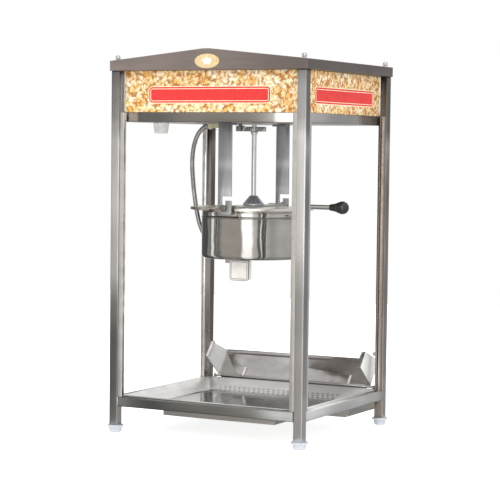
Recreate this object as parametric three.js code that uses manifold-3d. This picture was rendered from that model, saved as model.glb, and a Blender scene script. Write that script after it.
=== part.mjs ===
// Table-top popcorn cart: a square-tube cabinet on four nylon feet, a gabled canopy with sign
// panels, and a tilting kettle that hangs from two slotted plates.
// Millimetres, +Z up. The sign side faces -Y, the serving chute is at +Y, the kettle pours to +X.
import * as THREE from 'three';
import { mergeVertices } from 'three/addons/utils/BufferGeometryUtils.js';
import Module from 'manifold-3d';

const wasm = await Module();
wasm.setup();

// ---- driving dimensions -------------------------------------------------------------------
const GAP = 0.3;                 // kept between neighbouring solids
const SHEET = 1.5;               // folded sheet metal
const WIDTH = 450;               // over the posts, along X
const DEPTH = 412;               // over the posts, along Y
const TUBE = 20;                 // square tube
const TUBE_WALL = 1.2;
const POST_BASE = 17;            // underside of the posts, above the floor
const RAIL_BASE = 56;            // underside of the bottom rails
const BEAM_BASE = 648;           // underside of the top beams
const BEAM_INSET = 14;           // front and side beams, behind the outer faces of the posts
const CHANNEL_WIDTH = 10;        // glazing channels
const CHANNEL_INSET = 2;         // glazing channels, behind the outer faces of the posts
const ROOF_BASE = 753;           // underside of the roof cover
const ROOF_EAVE = 773.5;
const ROOF_RIDGE = 796;
const ROOF_OVERHANG = 2.5;
const RIDGE_FLAT = 8;            // half width of the flat along the ridge

const AXIS_X = 2;                // plane of the kettle's trunnions and its agitator
const PIVOT_Z = 473;             // height of the trunnions
const KETTLE_R = 109;
const KETTLE_BASE = 365;
const KETTLE_TOP = 463;
const PAN_R = 103;               // cooking pan inside the kettle
const PAN_TOP = 469.7;
const LID_R = { left: 133, right: 127 };
const LID_HALF = 126;            // the lids are cut off straight here, inside the hangers
const BRIDGE_HALF = 21;          // half width of the bridge strap
const TRUNNION_R = 4;
const HANGER_Y = 130;            // middle of each hanger plate
const HANGER_T = 4;
const SHAFT_R = 5;
const HANDLE_Z = PIVOT_Z + 3;
const HANDLE_NECK = 182;         // where the knob starts on the handle's rod
const KNOB_BALL = 210;           // middle of the knob's ball
const KNOB_R = 13.6;

const GEAR_MODULE = 1.5;
const GEAR_TEETH = 32;
const PINION_TEETH = 12;
const GEAR_BASE = 632;
const GEAR_T = 10;
const GEAR_DISTANCE = GEAR_MODULE * (GEAR_TEETH + PINION_TEETH) / 2 + 0.4;

const FLOOR_Z = 60;              // flat floor of the pan
const CHUTE_LEAN = 38.2 * Math.PI / 180;
const HINGE_Y = 199.5;
const HINGE_Z = 80.5;
const HINGE_ROD_R = 2.5;

// ---- derived dimensions -------------------------------------------------------------------
const HALF_W = WIDTH / 2;
const HALF_D = DEPTH / 2;
const INNER_X = HALF_W - TUBE;
const INNER_Y = HALF_D - TUBE;
const POST_X = HALF_W - TUBE / 2;
const POST_Y = HALF_D - TUBE / 2;
const RAIL_TOP = RAIL_BASE + TUBE;
const BEAM_TOP = BEAM_BASE + TUBE;

// ---- materials ----------------------------------------------------------------------------
const finish = (color, roughness, metalness) =>
  () => new THREE.MeshStandardMaterial({ color, roughness, metalness });
const brushed = finish(0xa9a8a2, 0.35, 1.0);
const polished = finish(0xc6c5c1, 0.15, 1.0);
const nylon = finish(0xeef0f2, 0.45, 0.0);
const print = finish(0xe9c97c, 0.35, 0.0);
const blackGloss = finish(0x101012, 0.15, 0.0);
const castGrey = finish(0x6b6d70, 0.5, 0.8);
const ceramicWhite = finish(0xf1f1ee, 0.3, 0.0);
const beige = finish(0xb9b392, 0.5, 0.0);
const brass = finish(0xb89b5a, 0.3, 1.0);

// ---- solids and booleans ------------------------------------------------------------------
function toSolid(geometry) {
  const bare = geometry.clone();
  bare.deleteAttribute('normal');
  bare.deleteAttribute('uv');
  const merged = mergeVertices(bare, 1e-4);
  return new wasm.Manifold(new wasm.Mesh({
    numProp: 3,
    vertProperties: new Float32Array(merged.attributes.position.array),
    triVerts: new Uint32Array(merged.index.array),
  }));
}

function toGeometry(solid) {
  const mesh = solid.getMesh();
  const geometry = new THREE.BufferGeometry();
  geometry.setAttribute('position', new THREE.BufferAttribute(new Float32Array(mesh.vertProperties), 3));
  geometry.setIndex(new THREE.BufferAttribute(new Uint32Array(mesh.triVerts), 1));
  geometry.computeVertexNormals();
  return geometry;
}

const join = (...geometries) => toGeometry(geometries.map(toSolid).reduce((a, b) => a.add(b)));
const cut = (body, ...tools) =>
  toGeometry(tools.map(toSolid).reduce((a, b) => a.subtract(b), toSolid(body)));

// Box between two planes on each axis; each pair may come in either order.
function block(x0, x1, y0, y1, z0, z1) {
  const geometry = new THREE.BoxGeometry(Math.abs(x1 - x0), Math.abs(y1 - y0), Math.abs(z1 - z0));
  return geometry.translate((x0 + x1) / 2, (y0 + y1) / 2, (z0 + z1) / 2);
}

// Round bar along +Z from z0 to z1.
function post(radius, z0, z1, sides = 24, x = 0, y = 0, topRadius = radius) {
  const geometry = new THREE.CylinderGeometry(topRadius, radius, z1 - z0, sides);
  return geometry.rotateX(Math.PI / 2).translate(x, y, (z0 + z1) / 2);
}

// Round bar along Y between y0 and y1.
function barY(radius, y0, y1, x, z, sides = 20) {
  const geometry = new THREE.CylinderGeometry(radius, radius, Math.abs(y1 - y0), sides);
  return geometry.translate(x, (y0 + y1) / 2, z);
}

// Round bar along +X from x0 to x1.
function barX(radius, x0, x1, y, z, sides = 20) {
  const geometry = new THREE.CylinderGeometry(radius, radius, x1 - x0, sides);
  return geometry.rotateZ(Math.PI / 2).translate((x0 + x1) / 2, y, z);
}

// Profile [radius, z] turned around +Z.
function turned(profile, sides = 40) {
  const points = profile.map(([r, z]) => new THREE.Vector2(r, z));
  return new THREE.LatheGeometry(points, sides).rotateX(Math.PI / 2);
}

// Outline in (x, y), pulled up along +Z by height.
function pulled(points, height, holes = []) {
  const shape = new THREE.Shape(points.map(([x, y]) => new THREE.Vector2(x, y)));
  for (const hole of holes) {
    shape.holes.push(new THREE.Path(hole.map(([x, y]) => new THREE.Vector2(x, y))));
  }
  return new THREE.ExtrudeGeometry(shape, { depth: height, bevelEnabled: false });
}

const rectangle = (x0, x1, y0, y1) => [[x0, y0], [x1, y0], [x1, y1], [x0, y1]];

// Outline in (x, z), pulled along +Y from y0 to y1.
const plateXZ = (points, y0, y1, holes = []) =>
  pulled(points, y1 - y0, holes).rotateX(Math.PI / 2).translate(0, y1, 0);

// Outline in (y, z), pulled along X between x0 and x1.
const plateYZ = (points, x0, x1) =>
  pulled(points, Math.abs(x1 - x0)).rotateX(Math.PI / 2).rotateZ(Math.PI / 2)
    .translate(Math.min(x0, x1), 0, 0);

// Solid between two level rectangles [x0, x1, y0, y1].
function loft(low, zLow, high, zHigh) {
  const ring = ([x0, x1, y0, y1], z) => [[x0, y0, z], [x1, y0, z], [x1, y1, z], [x0, y1, z]];
  const corners = [...ring(low, zLow), ...ring(high, zHigh)];
  const faces = [0, 2, 1, 0, 3, 2, 4, 5, 6, 4, 6, 7];
  for (let i = 0; i < 4; i += 1) {
    const j = (i + 1) % 4;
    faces.push(i, j, j + 4, i, j + 4, i + 4);
  }
  const geometry = new THREE.BufferGeometry();
  geometry.setAttribute('position', new THREE.Float32BufferAttribute(corners.flat(), 3));
  geometry.setIndex(faces);
  return geometry;
}

// Square or flat tube of a given length along +Z, centred on its axis.
function squareTube(length, across = TUBE, tall = TUBE) {
  const [a, b] = [across / 2, tall / 2];
  const [c, d] = [a - TUBE_WALL, b - TUBE_WALL];
  return pulled(rectangle(-a, a, -b, b), length, [rectangle(-c, c, -d, d).reverse()]);
}

const cart = new THREE.Group();
function place(name, geometry, material, position = [0, 0, 0], rotation = [0, 0, 0]) {
  const mesh = new THREE.Mesh(geometry, material());
  mesh.name = name;
  mesh.position.set(...position);
  mesh.rotation.set(...rotation);
  cart.add(mesh);
}

const CORNERS = [['front_left', -1, -1], ['front_right', 1, -1], ['back_left', -1, 1], ['back_right', 1, 1]];

// ---- frame --------------------------------------------------------------------------------
function footGeometry() {
  const dome = turned([
    [0, 0], [9, 0], [11.6, 1.6], [13, 4.6], [13.2, 8], [13, 11.6],
    [16.4, 12.2], [17, 13], [17, 16], [16.4, POST_BASE - GAP], [0, POST_BASE - GAP],
  ], 28);
  const plug = TUBE / 2 - TUBE_WALL - GAP;
  return join(dome, block(-plug, plug, -plug, plug, POST_BASE - 1, POST_BASE + 16));
}

// Dome nuts stand on the roof slope, clear of it at their uphill side.
function domeNutGeometry() {
  const slope = (ROOF_RIDGE - ROOF_EAVE) / (HALF_W + ROOF_OVERHANG - RIDGE_FLAT);
  const base = ROOF_EAVE + slope * (ROOF_OVERHANG + TUBE / 2 + 5.8) + GAP;
  return turned([
    [0, base], [5.8, base], [5.8, base + 3.4], [5.2, base + 6.6], [3.2, base + 9], [0, base + 10],
  ], 20);
}

function addFrame() {
  for (const [corner, sx, sy] of CORNERS) {
    const at = [sx * POST_X, sy * POST_Y, 0];
    place(`post_${corner}`, squareTube(ROOF_BASE - GAP - POST_BASE), brushed, [at[0], at[1], POST_BASE]);
    place(`foot_${corner}`, footGeometry(), nylon, at);
    place(`dome_nut_${corner}`, domeNutGeometry(), polished, at);
  }
  const acrossX = 2 * (INNER_X - GAP);
  const acrossY = 2 * (INNER_Y - GAP);
  for (const [kind, base, inset] of [['rail', RAIL_BASE, 0], ['beam', BEAM_BASE, BEAM_INSET]]) {
    const z = base + TUBE / 2;
    const thin = TUBE - inset;
    const y = -(HALF_D - inset - thin / 2);
    const x = HALF_W - inset - thin / 2;
    place(`${kind}_front`, squareTube(acrossX, TUBE, thin), brushed,
      [-acrossX / 2, y, z], [0, Math.PI / 2, 0]);
    place(`${kind}_left`, squareTube(acrossY, thin), brushed, [-x, acrossY / 2, z], [Math.PI / 2, 0, 0]);
    place(`${kind}_right`, squareTube(acrossY, thin), brushed, [x, acrossY / 2, z], [Math.PI / 2, 0, 0]);
  }
  const backTube = squareTube(acrossX).rotateY(Math.PI / 2).translate(-acrossX / 2, POST_Y, 0);
  place('beam_back', backTube, brushed, [0, 0, BEAM_BASE + TUBE / 2]);
  place('rail_back', railBackGeometry(acrossX), brushed);
}

// The chute's hinge rod stands on two lugs that are welded to the back rail.
function railBackGeometry(length) {
  const tube = squareTube(length).rotateY(Math.PI / 2).translate(-length / 2, POST_Y, RAIL_BASE + TUBE / 2);
  const rodEnd = INNER_X - 6;
  const lugs = [-1, 1].map((side) => block(
    side * rodEnd, side * (rodEnd - 4), HINGE_Y - 4, HINGE_Y + 4, RAIL_TOP - 0.6, HINGE_Z + 4));
  return join(tube, ...lugs, barX(HINGE_ROD_R, -rodEnd, rodEnd, HINGE_Y, HINGE_Z, 16));
}

// U-shaped glazing channels on the posts, in front of the beams around the front and side openings.
function channelGeometry() {
  const depth = 9.6;
  const half = CHANNEL_WIDTH / 2;
  const wall = 1.2;
  const outline = [[0, -half], [depth, -half], [depth, -half + wall], [wall, -half + wall],
    [wall, half - wall], [depth, half - wall], [depth, half], [0, half]];
  return pulled(outline, BEAM_TOP - RAIL_TOP - 2 * GAP);
}

function addChannels() {
  const z = RAIL_TOP + GAP;
  const inset = CHANNEL_INSET + CHANNEL_WIDTH / 2;
  const frontY = inset - HALF_D;
  const sideX = HALF_W - inset;
  place('channel_front_left', channelGeometry(), polished, [-INNER_X + GAP, frontY, z]);
  place('channel_front_right', channelGeometry(), polished, [INNER_X - GAP, frontY, z], [0, 0, Math.PI]);
  for (const [side, sx] of [['left', -1], ['right', 1]]) {
    place(`channel_${side}_front`, channelGeometry(), polished,
      [sx * sideX, -INNER_Y + GAP, z], [0, 0, Math.PI / 2]);
    place(`channel_${side}_back`, channelGeometry(), polished,
      [sx * sideX, INNER_Y - GAP, z], [0, 0, -Math.PI / 2]);
  }
}

// ---- canopy -------------------------------------------------------------------------------
function gable(inset, base) {
  const x = HALF_W + ROOF_OVERHANG - inset;
  return [[-x, base], [x, base], [x, ROOF_EAVE - inset], [RIDGE_FLAT, ROOF_RIDGE - inset],
    [-RIDGE_FLAT, ROOF_RIDGE - inset], [-x, ROOF_EAVE - inset]];
}

// Folded cover: gable ends, two roof slopes, and a return flange that rests on the posts.
function roofGeometry() {
  const y = HALF_D + ROOF_OVERHANG;
  const openX = HALF_W - 24;
  const openY = HALF_D - 24;
  return cut(
    plateXZ(gable(0, ROOF_BASE), -y, y),
    plateXZ(gable(SHEET, ROOF_BASE + SHEET), -y + SHEET, y - SHEET),
    block(-openX, openX, -openY, openY, ROOF_BASE - 1, ROOF_BASE + 3));
}

const SIGN_BASE = BEAM_TOP + GAP;
const SIGN_TOP = ROOF_BASE - GAP;
const SIGN_T = 3;
const SIGN_INSET = BEAM_INSET + 1;

const ROCKERS = [['heat_switch', -60], ['motor_switch', -20], ['light_switch', 20]];
const ROCKER_Z = 712;
const ROCKER_HALF = [6.6, 11];   // half width, half height
const ROCKER_TILT = 7 * Math.PI / 180;   // off; switched on it tips as far the other way
const PANEL_Y = POST_Y + 2;      // outer face of the service panel
const INLET_X = 130;

function servicePanelGeometry() {
  const holes = ROCKERS.map(([, x]) => block(
    x - ROCKER_HALF[0] - 0.6, x + ROCKER_HALF[0] + 0.6, PANEL_Y - 4, PANEL_Y + 4,
    ROCKER_Z - ROCKER_HALF[1] - 1.6, ROCKER_Z + ROCKER_HALF[1] + 1.6));
  return cut(
    block(-INNER_X + GAP, INNER_X - GAP, PANEL_Y - SHEET, PANEL_Y, SIGN_BASE, SIGN_TOP),
    ...holes,
    block(INLET_X - 14, INLET_X + 14, PANEL_Y - 4, PANEL_Y + 4, ROCKER_Z - 10.5, ROCKER_Z + 10.5));
}

// A rocker: flat back, shallow V front, turning about a line along X through its own middle.
function rockerGeometry() {
  const [half, tall] = ROCKER_HALF;
  return plateYZ([[-5, -tall + 2], [2.6, -tall], [1.2, 0], [2.6, tall], [-5, tall - 2]], -half, half);
}

// Mains inlet: a flanged block with a recess that is open to the back.
function inletGeometry() {
  const z = ROCKER_Z;
  return cut(
    join(
      block(INLET_X - 13.6, INLET_X + 13.6, PANEL_Y - 18, PANEL_Y + 1, z - 10, z + 10),
      block(INLET_X - 17, INLET_X + 17, PANEL_Y + GAP, PANEL_Y + 2.5, z - 13, z + 13)),
    block(INLET_X - 11.5, INLET_X + 11.5, PANEL_Y - 15, PANEL_Y + 4, z - 8, z + 8));
}

const PINION_X = AXIS_X - GEAR_DISTANCE;
const LAMP = { x: -170, y: -95, tall: 22.6, bore: 10 };

// Lamp holder: a cup that widens towards the ceiling, with its socket open downwards.
function lampHolderGeometry() {
  const seat = 17;
  return turned([
    [LAMP.bore, 0], [13, 0], [14.5, 3], [17, LAMP.tall], [0, LAMP.tall],
    [0, seat], [LAMP.bore, seat], [LAMP.bore, 0],
  ], 28);
}

function addCanopy() {
  place('roof_cover', roofGeometry(), brushed);
  const frontY = -(HALF_D - SIGN_INSET);
  place('sign_front',
    block(-INNER_X + GAP, INNER_X - GAP, frontY, frontY + SIGN_T, SIGN_BASE, SIGN_TOP), print);
  for (const [side, sx] of [['left', -1], ['right', 1]]) {
    const x = sx * (HALF_W - SIGN_INSET - SIGN_T / 2);
    place(`sign_${side}`,
      block(x - SIGN_T / 2, x + SIGN_T / 2, -INNER_Y + GAP, INNER_Y - GAP, SIGN_BASE, SIGN_TOP), print);
  }
  place('service_panel', servicePanelGeometry(), brushed);
  for (const [name, x] of ROCKERS) {
    place(name, rockerGeometry(), blackGloss, [x, PANEL_Y, ROCKER_Z], [-ROCKER_TILT, 0, 0]);
  }
  place('power_inlet', inletGeometry(), blackGloss);
  const floorBase = BEAM_BASE + GAP;
  place('canopy_floor', cut(
    block(-INNER_X + GAP, INNER_X - GAP, -INNER_Y + GAP, INNER_Y - GAP, floorBase, floorBase + SHEET),
    post(12, BEAM_BASE - 2, BEAM_BASE + 5, 20, PINION_X, 0)), brushed);
  place('lamp_holder', lampHolderGeometry(), ceramicWhite, [LAMP.x, LAMP.y, BEAM_BASE - GAP - LAMP.tall]);
}

// ---- kettle drive -------------------------------------------------------------------------
// Stub-toothed spur gear outline; turn is the angle of the middle of the first tooth.
function gearOutline(teeth, turn) {
  const pitch = GEAR_MODULE * teeth / 2;
  const tip = pitch + 0.75 * GEAR_MODULE;
  const root = pitch - GEAR_MODULE;
  const step = 2 * Math.PI / teeth;
  const points = [];
  for (let i = 0; i < teeth; i += 1) {
    const a = turn + i * step;
    for (const [r, part] of [[root, -0.31], [tip, -0.12], [tip, 0.12], [root, 0.31]]) {
      points.push([r * Math.cos(a + part * step), r * Math.sin(a + part * step)]);
    }
  }
  return points;
}

function circle(radius, sides) {
  return Array.from({ length: sides }, (_, i) => {
    const a = -2 * Math.PI * i / sides;
    return [radius * Math.cos(a), radius * Math.sin(a)];
  });
}

function addDrive() {
  const gearAt = [AXIS_X, 0, GEAR_BASE];
  const halfTooth = Math.PI / PINION_TEETH;
  const gear = pulled(gearOutline(GEAR_TEETH, Math.PI), GEAR_T, [circle(SHAFT_R + GAP, 20)]);
  place('drive_gear', gear, castGrey, gearAt);
  place('drive_pinion', join(
    pulled(gearOutline(PINION_TEETH, halfTooth), GEAR_T + 2),
    post(4, GEAR_T, 36, 16)), castGrey, [PINION_X, 0, GEAR_BASE]);

  const base = BEAM_BASE + 2 * GAP + SHEET;
  place('motor_gearbox', cut(
    block(PINION_X - 42, PINION_X + 42, -36, 36, base, base + 26),
    post(4.4, base - 1, base + 20, 16, PINION_X, 0)), castGrey);
  const motorZ = base + 26 + GAP;
  place('agitator_motor', join(
    post(34, motorZ, motorZ + 50, 32, PINION_X, 0),
    post(20, motorZ + 49, motorZ + 58, 24, PINION_X, 0)), castGrey);

  const shaftTop = GEAR_BASE + GEAR_T + 3.5;
  place('agitator_shaft', join(
    post(SHAFT_R, 392, shaftTop, 20, AXIS_X, 0),
    post(SHAFT_R + 3, GEAR_BASE - 7, GEAR_BASE - GAP, 20, AXIS_X, 0)), polished);
  const arm = (a) => join(
    block(6, 92, -3, 3, 391, 399).rotateZ(a),
    block(60, 92, -3, 3, 391, 412).rotateZ(a));
  place('agitator_blades', cut(
    join(post(10, 389, 404, 20), arm(0.5), arm(0.5 + Math.PI)),
    post(SHAFT_R + GAP, 391.5, 420, 20)), polished, [AXIS_X, 0, 0]);
}

// ---- kettle -------------------------------------------------------------------------------
const GLAND = { x: -123, y: 17, z: 398, turn: -0.466 };   // mouth and lean of the cable gland

function kettleShellGeometry() {
  const shell = turned([
    [0, KETTLE_BASE], [KETTLE_R - 6, KETTLE_BASE], [KETTLE_R - 2, KETTLE_BASE + 1.6],
    [KETTLE_R, KETTLE_BASE + 6], [KETTLE_R, KETTLE_TOP], [KETTLE_R - SHEET, KETTLE_TOP],
    [KETTLE_R - SHEET, KETTLE_BASE + 7], [KETTLE_R - 6, KETTLE_BASE + SHEET + 1], [0, KETTLE_BASE + SHEET],
  ], 64);
  const wallX = Math.sqrt(KETTLE_R ** 2 - GLAND.y ** 2);
  const elbow = block(
    GLAND.x - 5, 1 - wallX, GLAND.y - 9, GLAND.y + 9, GLAND.z - 20, GLAND.z - 6);
  const nipple = post(8, -12, 0, 16).rotateY(GLAND.turn).translate(GLAND.x, GLAND.y, GLAND.z);
  return join(shell, elbow, nipple);
}

function kettlePanGeometry() {
  const base = KETTLE_BASE + 20;
  return turned([
    [0, base], [PAN_R - 5, base], [PAN_R, base + 5], [PAN_R, PAN_TOP], [PAN_R - 2, PAN_TOP],
    [PAN_R - 2, base + 6], [PAN_R - 6, base + 2], [0, base + 2],
  ], 56);
}

const EAR_BASE = 456;

// Strap across the kettle, with ears down its sides and a trunnion at each end.
function bridgeGeometry() {
  const earInner = KETTLE_R + GAP;
  const earOuter = earInner + 6;
  const parts = [block(-BRIDGE_HALF, BRIDGE_HALF, -earOuter, earOuter, PAN_TOP + GAP, PIVOT_Z + 3)];
  for (const side of [-1, 1]) {
    const inner = side * earInner;
    const outer = side * earOuter;
    const tip = side * (HANGER_Y + HANGER_T / 2 + 5);
    parts.push(block(-BRIDGE_HALF, BRIDGE_HALF, inner, outer, EAR_BASE, PIVOT_Z + 5));
    parts.push(barY(TRUNNION_R, outer - side, tip, 0, PIVOT_Z));
    const collar = side * (HANGER_Y + HANGER_T / 2 + 1);
    parts.push(barY(TRUNNION_R + 3, collar, tip, 0, PIVOT_Z));
  }
  return cut(join(...parts), post(SHAFT_R + GAP, 460, 490, 20));
}

// Half lid: flat sheet with a turned-down lip round its outer end and a straight cut at each side.
function lidGeometry(side) {
  const inner = BRIDGE_HALF + 1.2;
  const low = PAN_TOP + 2 * GAP;
  const top = low + 2;
  const lip = top - 5.5;
  const outer = side < 0 ? LID_R.left : LID_R.right;
  const disc = join(post(outer, low, top, 72), turned([
    [outer - SHEET, lip], [outer, lip], [outer, top], [outer - SHEET, top], [outer - SHEET, lip],
  ], 72));
  const far = 200;
  const tools = [
    block(side * inner, -side * far, -far, far, lip - 5, top + 5),
    block(-far, far, LID_HALF, far, lip - 5, top + 5),
    block(-far, far, -far, -LID_HALF, lip - 5, top + 5),
  ];
  if (side > 0) tools.push(block(KETTLE_R - 5, far, -15, 15, lip - 5, top + 5));
  return cut(disc, ...tools);
}

// Tilt handle: a flat bracket on the kettle's side and a round rod.
function handleGeometry() {
  const x = KETTLE_R + 2 * GAP;
  return join(
    block(x, x + 4, -12, 12, 428, HANDLE_Z + 8),
    barX(SHAFT_R, x + 3, HANDLE_NECK + 14 - AXIS_X, 0, HANDLE_Z, 20));
}

// Pear-shaped grip: a neck that flares into a ball, bored for the rod.
function knobGeometry() {
  const ballStart = -0.08 * Math.PI;
  const profile = [[SHAFT_R + GAP, 0], [6.6, 0], [7.1, 3], [8.6, 12], [11.3, 19]];
  const steps = 10;
  for (let i = 0; i <= steps; i += 1) {
    const a = ballStart + (Math.PI / 2 - ballStart) * i / steps;
    profile.push([Math.max(0, KNOB_R * Math.cos(a)), KNOB_BALL - HANDLE_NECK + KNOB_R * Math.sin(a)]);
  }
  profile[profile.length - 1][0] = 0;
  profile.push([0, 15], [SHAFT_R + GAP, 15], [SHAFT_R + GAP, 0]);
  return turned(profile, 28).rotateY(Math.PI / 2);
}

// Terminal box with rounded lower edges, hung from a flat bracket under the kettle.
function terminalBoxGeometry() {
  const half = 21.5;
  const low = 320;
  const high = KETTLE_BASE - 4;
  const round = 6;
  const outline = [[-half, high], [-half, low + round], [-half + round * 0.3, low + round * 0.3],
    [-half + round, low], [half - round, low], [half - round * 0.3, low + round * 0.3],
    [half, low + round], [half, high]];
  const hood = plateXZ(outline, -57, -41);
  const inside = block(-half + 2, half - 2, -55, -43, low + 4, high + 1);
  const flange = block(-half - 13, half - 8, -54, -34, high - 6, KETTLE_BASE - GAP);
  const walls = block(-half + 1, half - 1, -52, -46, high - 9, high);
  return join(cut(hood, inside), flange, walls);
}

// Hanger plate: a strap with a J-shaped slot that takes a trunnion, and a flange at the top.
function hangerGeometry(side) {
  const half = 15.6;
  const middle = 2;
  const slot = TRUNNION_R + GAP;
  const low = 459;
  const entryLow = PIVOT_Z + 15.6;
  const entryHigh = PIVOT_Z + 24.3;
  const top = BEAM_BASE;
  const bowl = Array.from({ length: 9 }, (_, i) => {
    const a = Math.PI + Math.PI * i / 8;
    return [slot * Math.cos(a), PIVOT_Z + slot * Math.sin(a)];
  });
  const outline = [[middle - half, top], [middle - half, low + 4], [middle - half + 4, low],
    [middle + half - 4, low], [middle + half, low + 4], [middle + half, entryLow],
    [slot, entryLow], ...bowl.reverse(), [-slot, entryHigh],
    [middle + half, entryHigh], [middle + half, top]];
  const y = side * HANGER_Y;
  const strap = plateXZ(outline, y - HANGER_T / 2, y + HANGER_T / 2);
  const foot = side * (HANGER_Y - 22);
  const flange = block(middle - half, middle + half, y, foot, top - HANGER_T, top);
  return join(strap, flange);
}

// Cone over the shaft where it enters the bridge; ten flats.
function coneGeometry() {
  const base = PIVOT_Z + 3 + GAP;
  const cone = turned([[0, base], [22.4, base], [22.4, base + 3], [8, base + 20.4], [0, base + 20.4]], 10);
  return cut(cone, post(SHAFT_R + GAP, base - 1, base + 30, 20));
}

const WIRING_X = -92;
const WIRING_Y = 15;

function wiringBoxGeometry() {
  const half = 18;
  const left = WIRING_X - half;
  const body = block(left, WIRING_X + half, WIRING_Y - half, WIRING_Y + half, 639, BEAM_BASE);
  const nipple = barX(5.5, left - 7, left + 1, WIRING_Y, CABLE_ROUTE[0][2], 16);
  return join(body, nipple);
}

// Route of the kettle's supply cable, from the wiring box to the gland on the kettle.
const CABLE_R = 5;
const CABLE_ROUTE = [
  [-117.9, 15, 642.2], [-123.2, 15, 641.9], [-129, 15, 639.4], [-135.6, 15, 634.2], [-143.4, 15, 624.7],
  [-149.9, 15, 610.6], [-154.4, 15, 593], [-156.6, 15, 574], [-156.8, 15, 557], [-155.8, 15, 541],
  [-153.8, 15, 520], [-151.2, 15, 499], [-147.9, 15.2, 478],
  [-144, 15.6, 457], [-139.3, 16.2, 437], [-133.2, 16.7, 421.5], [-127.6, 17, 411], [-123.4, 17, 402.7],
  [-121.13, 17, 398.27],
];

function cableGeometry() {
  const route = CABLE_ROUTE.map(([x, y, z]) => new THREE.Vector3(x, y, z));
  const curve = new THREE.CatmullRomCurve3(route, false, 'centripetal');
  const section = new THREE.Shape(circle(CABLE_R, 10).reverse().map(([x, y]) => new THREE.Vector2(x, y)));
  return new THREE.ExtrudeGeometry(section, { extrudePath: curve, steps: 18, bevelEnabled: false });
}

function addKettle() {
  const at = [AXIS_X, 0, 0];
  place('kettle_shell', kettleShellGeometry(), polished, at);
  place('cooking_pan', kettlePanGeometry(), polished, at);
  place('kettle_bridge', bridgeGeometry(), polished, at);
  place('lid_left', lidGeometry(-1), polished, at);
  place('lid_right', lidGeometry(1), polished, at);
  place('tilt_handle', handleGeometry(), polished, at);
  place('handle_knob', knobGeometry(), blackGloss, [HANDLE_NECK, 0, HANDLE_Z]);
  place('terminal_box', terminalBoxGeometry(), ceramicWhite, [AXIS_X - 2.5, 0, 0]);
  place('shaft_cone', coneGeometry(), polished, at);
  place('hanger_front', hangerGeometry(-1), brushed, at);
  place('hanger_back', hangerGeometry(1), brushed, at);
  place('wiring_box', wiringBoxGeometry(), beige);
  place('kettle_cable', cableGeometry(), brass);
}

// ---- floor, drawer and chute --------------------------------------------------------------
const LIP = 7;                   // the pan's lip over the rails
const LIP_CLEAR = 7;             // the lip stops this far short of the posts
const DRAWER = { x0: -186, x1: 209, y0: 46, y1: 180, z0: 36, z1: 55.3 };

// Dished floor on the rails, with the drawer's two runners welded below it.
function floorPanGeometry() {
  const rim = [-203.5, 203.5, -184.5, 184.5];
  const crease = [-178, 178, -160, 140];
  const floor = [-150, 150, -130, 93];
  const creaseZ = 70;
  const lipLow = RAIL_TOP + GAP;
  const lipHigh = lipLow + SHEET;
  const grow = ([x0, x1, y0, y1], d) => [x0 - d, x1 + d, y0 - d, y1 + d];
  const below = (d) => [
    loft(grow(floor, d), FLOOR_Z - d, grow(crease, d), creaseZ - d),
    loft(grow(crease, d), creaseZ - d, grow(rim, Math.min(d, 1)), lipHigh - d),
  ];
  const runners = [[DRAWER.y0 - GAP - SHEET, 1], [DRAWER.y1 + GAP, -1]].flatMap(([y, inward]) => {
    const top = inward > 0 ? FLOOR_Z - 1 : RAIL_TOP + 0.2;
    const shelf0 = inward > 0 ? y : y - 8;
    const low = DRAWER.z0 - GAP - SHEET;
    return [block(-184, INNER_X - 2, y, y + SHEET, low, top),
      block(-184, INNER_X - 2, shelf0, shelf0 + 8 + SHEET, low, low + SHEET)];
  });
  const outer = join(
    ...below(SHEET),
    loft(grow(rim, 1), lipHigh - SHEET - 0.5, grow(rim, 1), lipHigh),
    block(-INNER_X - LIP, INNER_X + LIP, -INNER_Y + LIP_CLEAR, INNER_Y - LIP_CLEAR, lipLow, lipHigh),
    block(-INNER_X + LIP_CLEAR, INNER_X - LIP_CLEAR, -INNER_Y - LIP, INNER_Y + LIP, lipLow, lipHigh),
    ...runners);
  const dish = below(0);
  const mouth = loft(rim, lipHigh - 0.001, rim, lipHigh + 2);
  return cut(outer, ...dish, mouth);
}

function trayGeometry({ x0, x1, y0, y1, z0, z1 }) {
  return cut(block(x0, x1, y0, y1, z0, z1),
    block(x0 + SHEET, x1 - SHEET, y0 + SHEET, y1 - SHEET, z0 + SHEET, z1 + 1));
}

// Drop-front chute, drawn upright on its hinge line: back sheet with a rolled lower edge, two
// cheeks, hems and straps.
const CHUTE_HALF = 190;
const CHUTE_TALL = 68;
const STRAP_X = [-125, 137];

function chuteGeometry() {
  const bottom = 2.6;
  const knuckle = CHUTE_HALF - 10;
  const cheek = [[0, bottom], [0, CHUTE_TALL], [-73, 44], [-75, 3], [-8, 3]];
  const parts = [
    block(-CHUTE_HALF, CHUTE_HALF, -SHEET, 0, bottom, CHUTE_TALL),
    block(-CHUTE_HALF, CHUTE_HALF, -4.4, -SHEET + 0.2, CHUTE_TALL - 9, CHUTE_TALL),
    barX(4.2, -knuckle, knuckle, 0, 0, 20),
  ];
  for (const side of [-1, 1]) {
    const outer = side * CHUTE_HALF;
    const inner = outer - side * SHEET;
    const fold = outer - side * 9;
    parts.push(plateYZ(cheek, outer, inner));
    parts.push(plateYZ([[-73, 44], [-75, 3], [-73.5, 3], [-71.5, 44]], outer, fold));
  }
  for (const x of STRAP_X) {
    parts.push(block(x - 2.5, x + 2.5, -SHEET - 1.2, -SHEET + 0.2, 3.2, 23));
  }
  return cut(join(...parts), barX(HINGE_ROD_R + GAP, -200, 200, 0, 0, 20));
}

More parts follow.
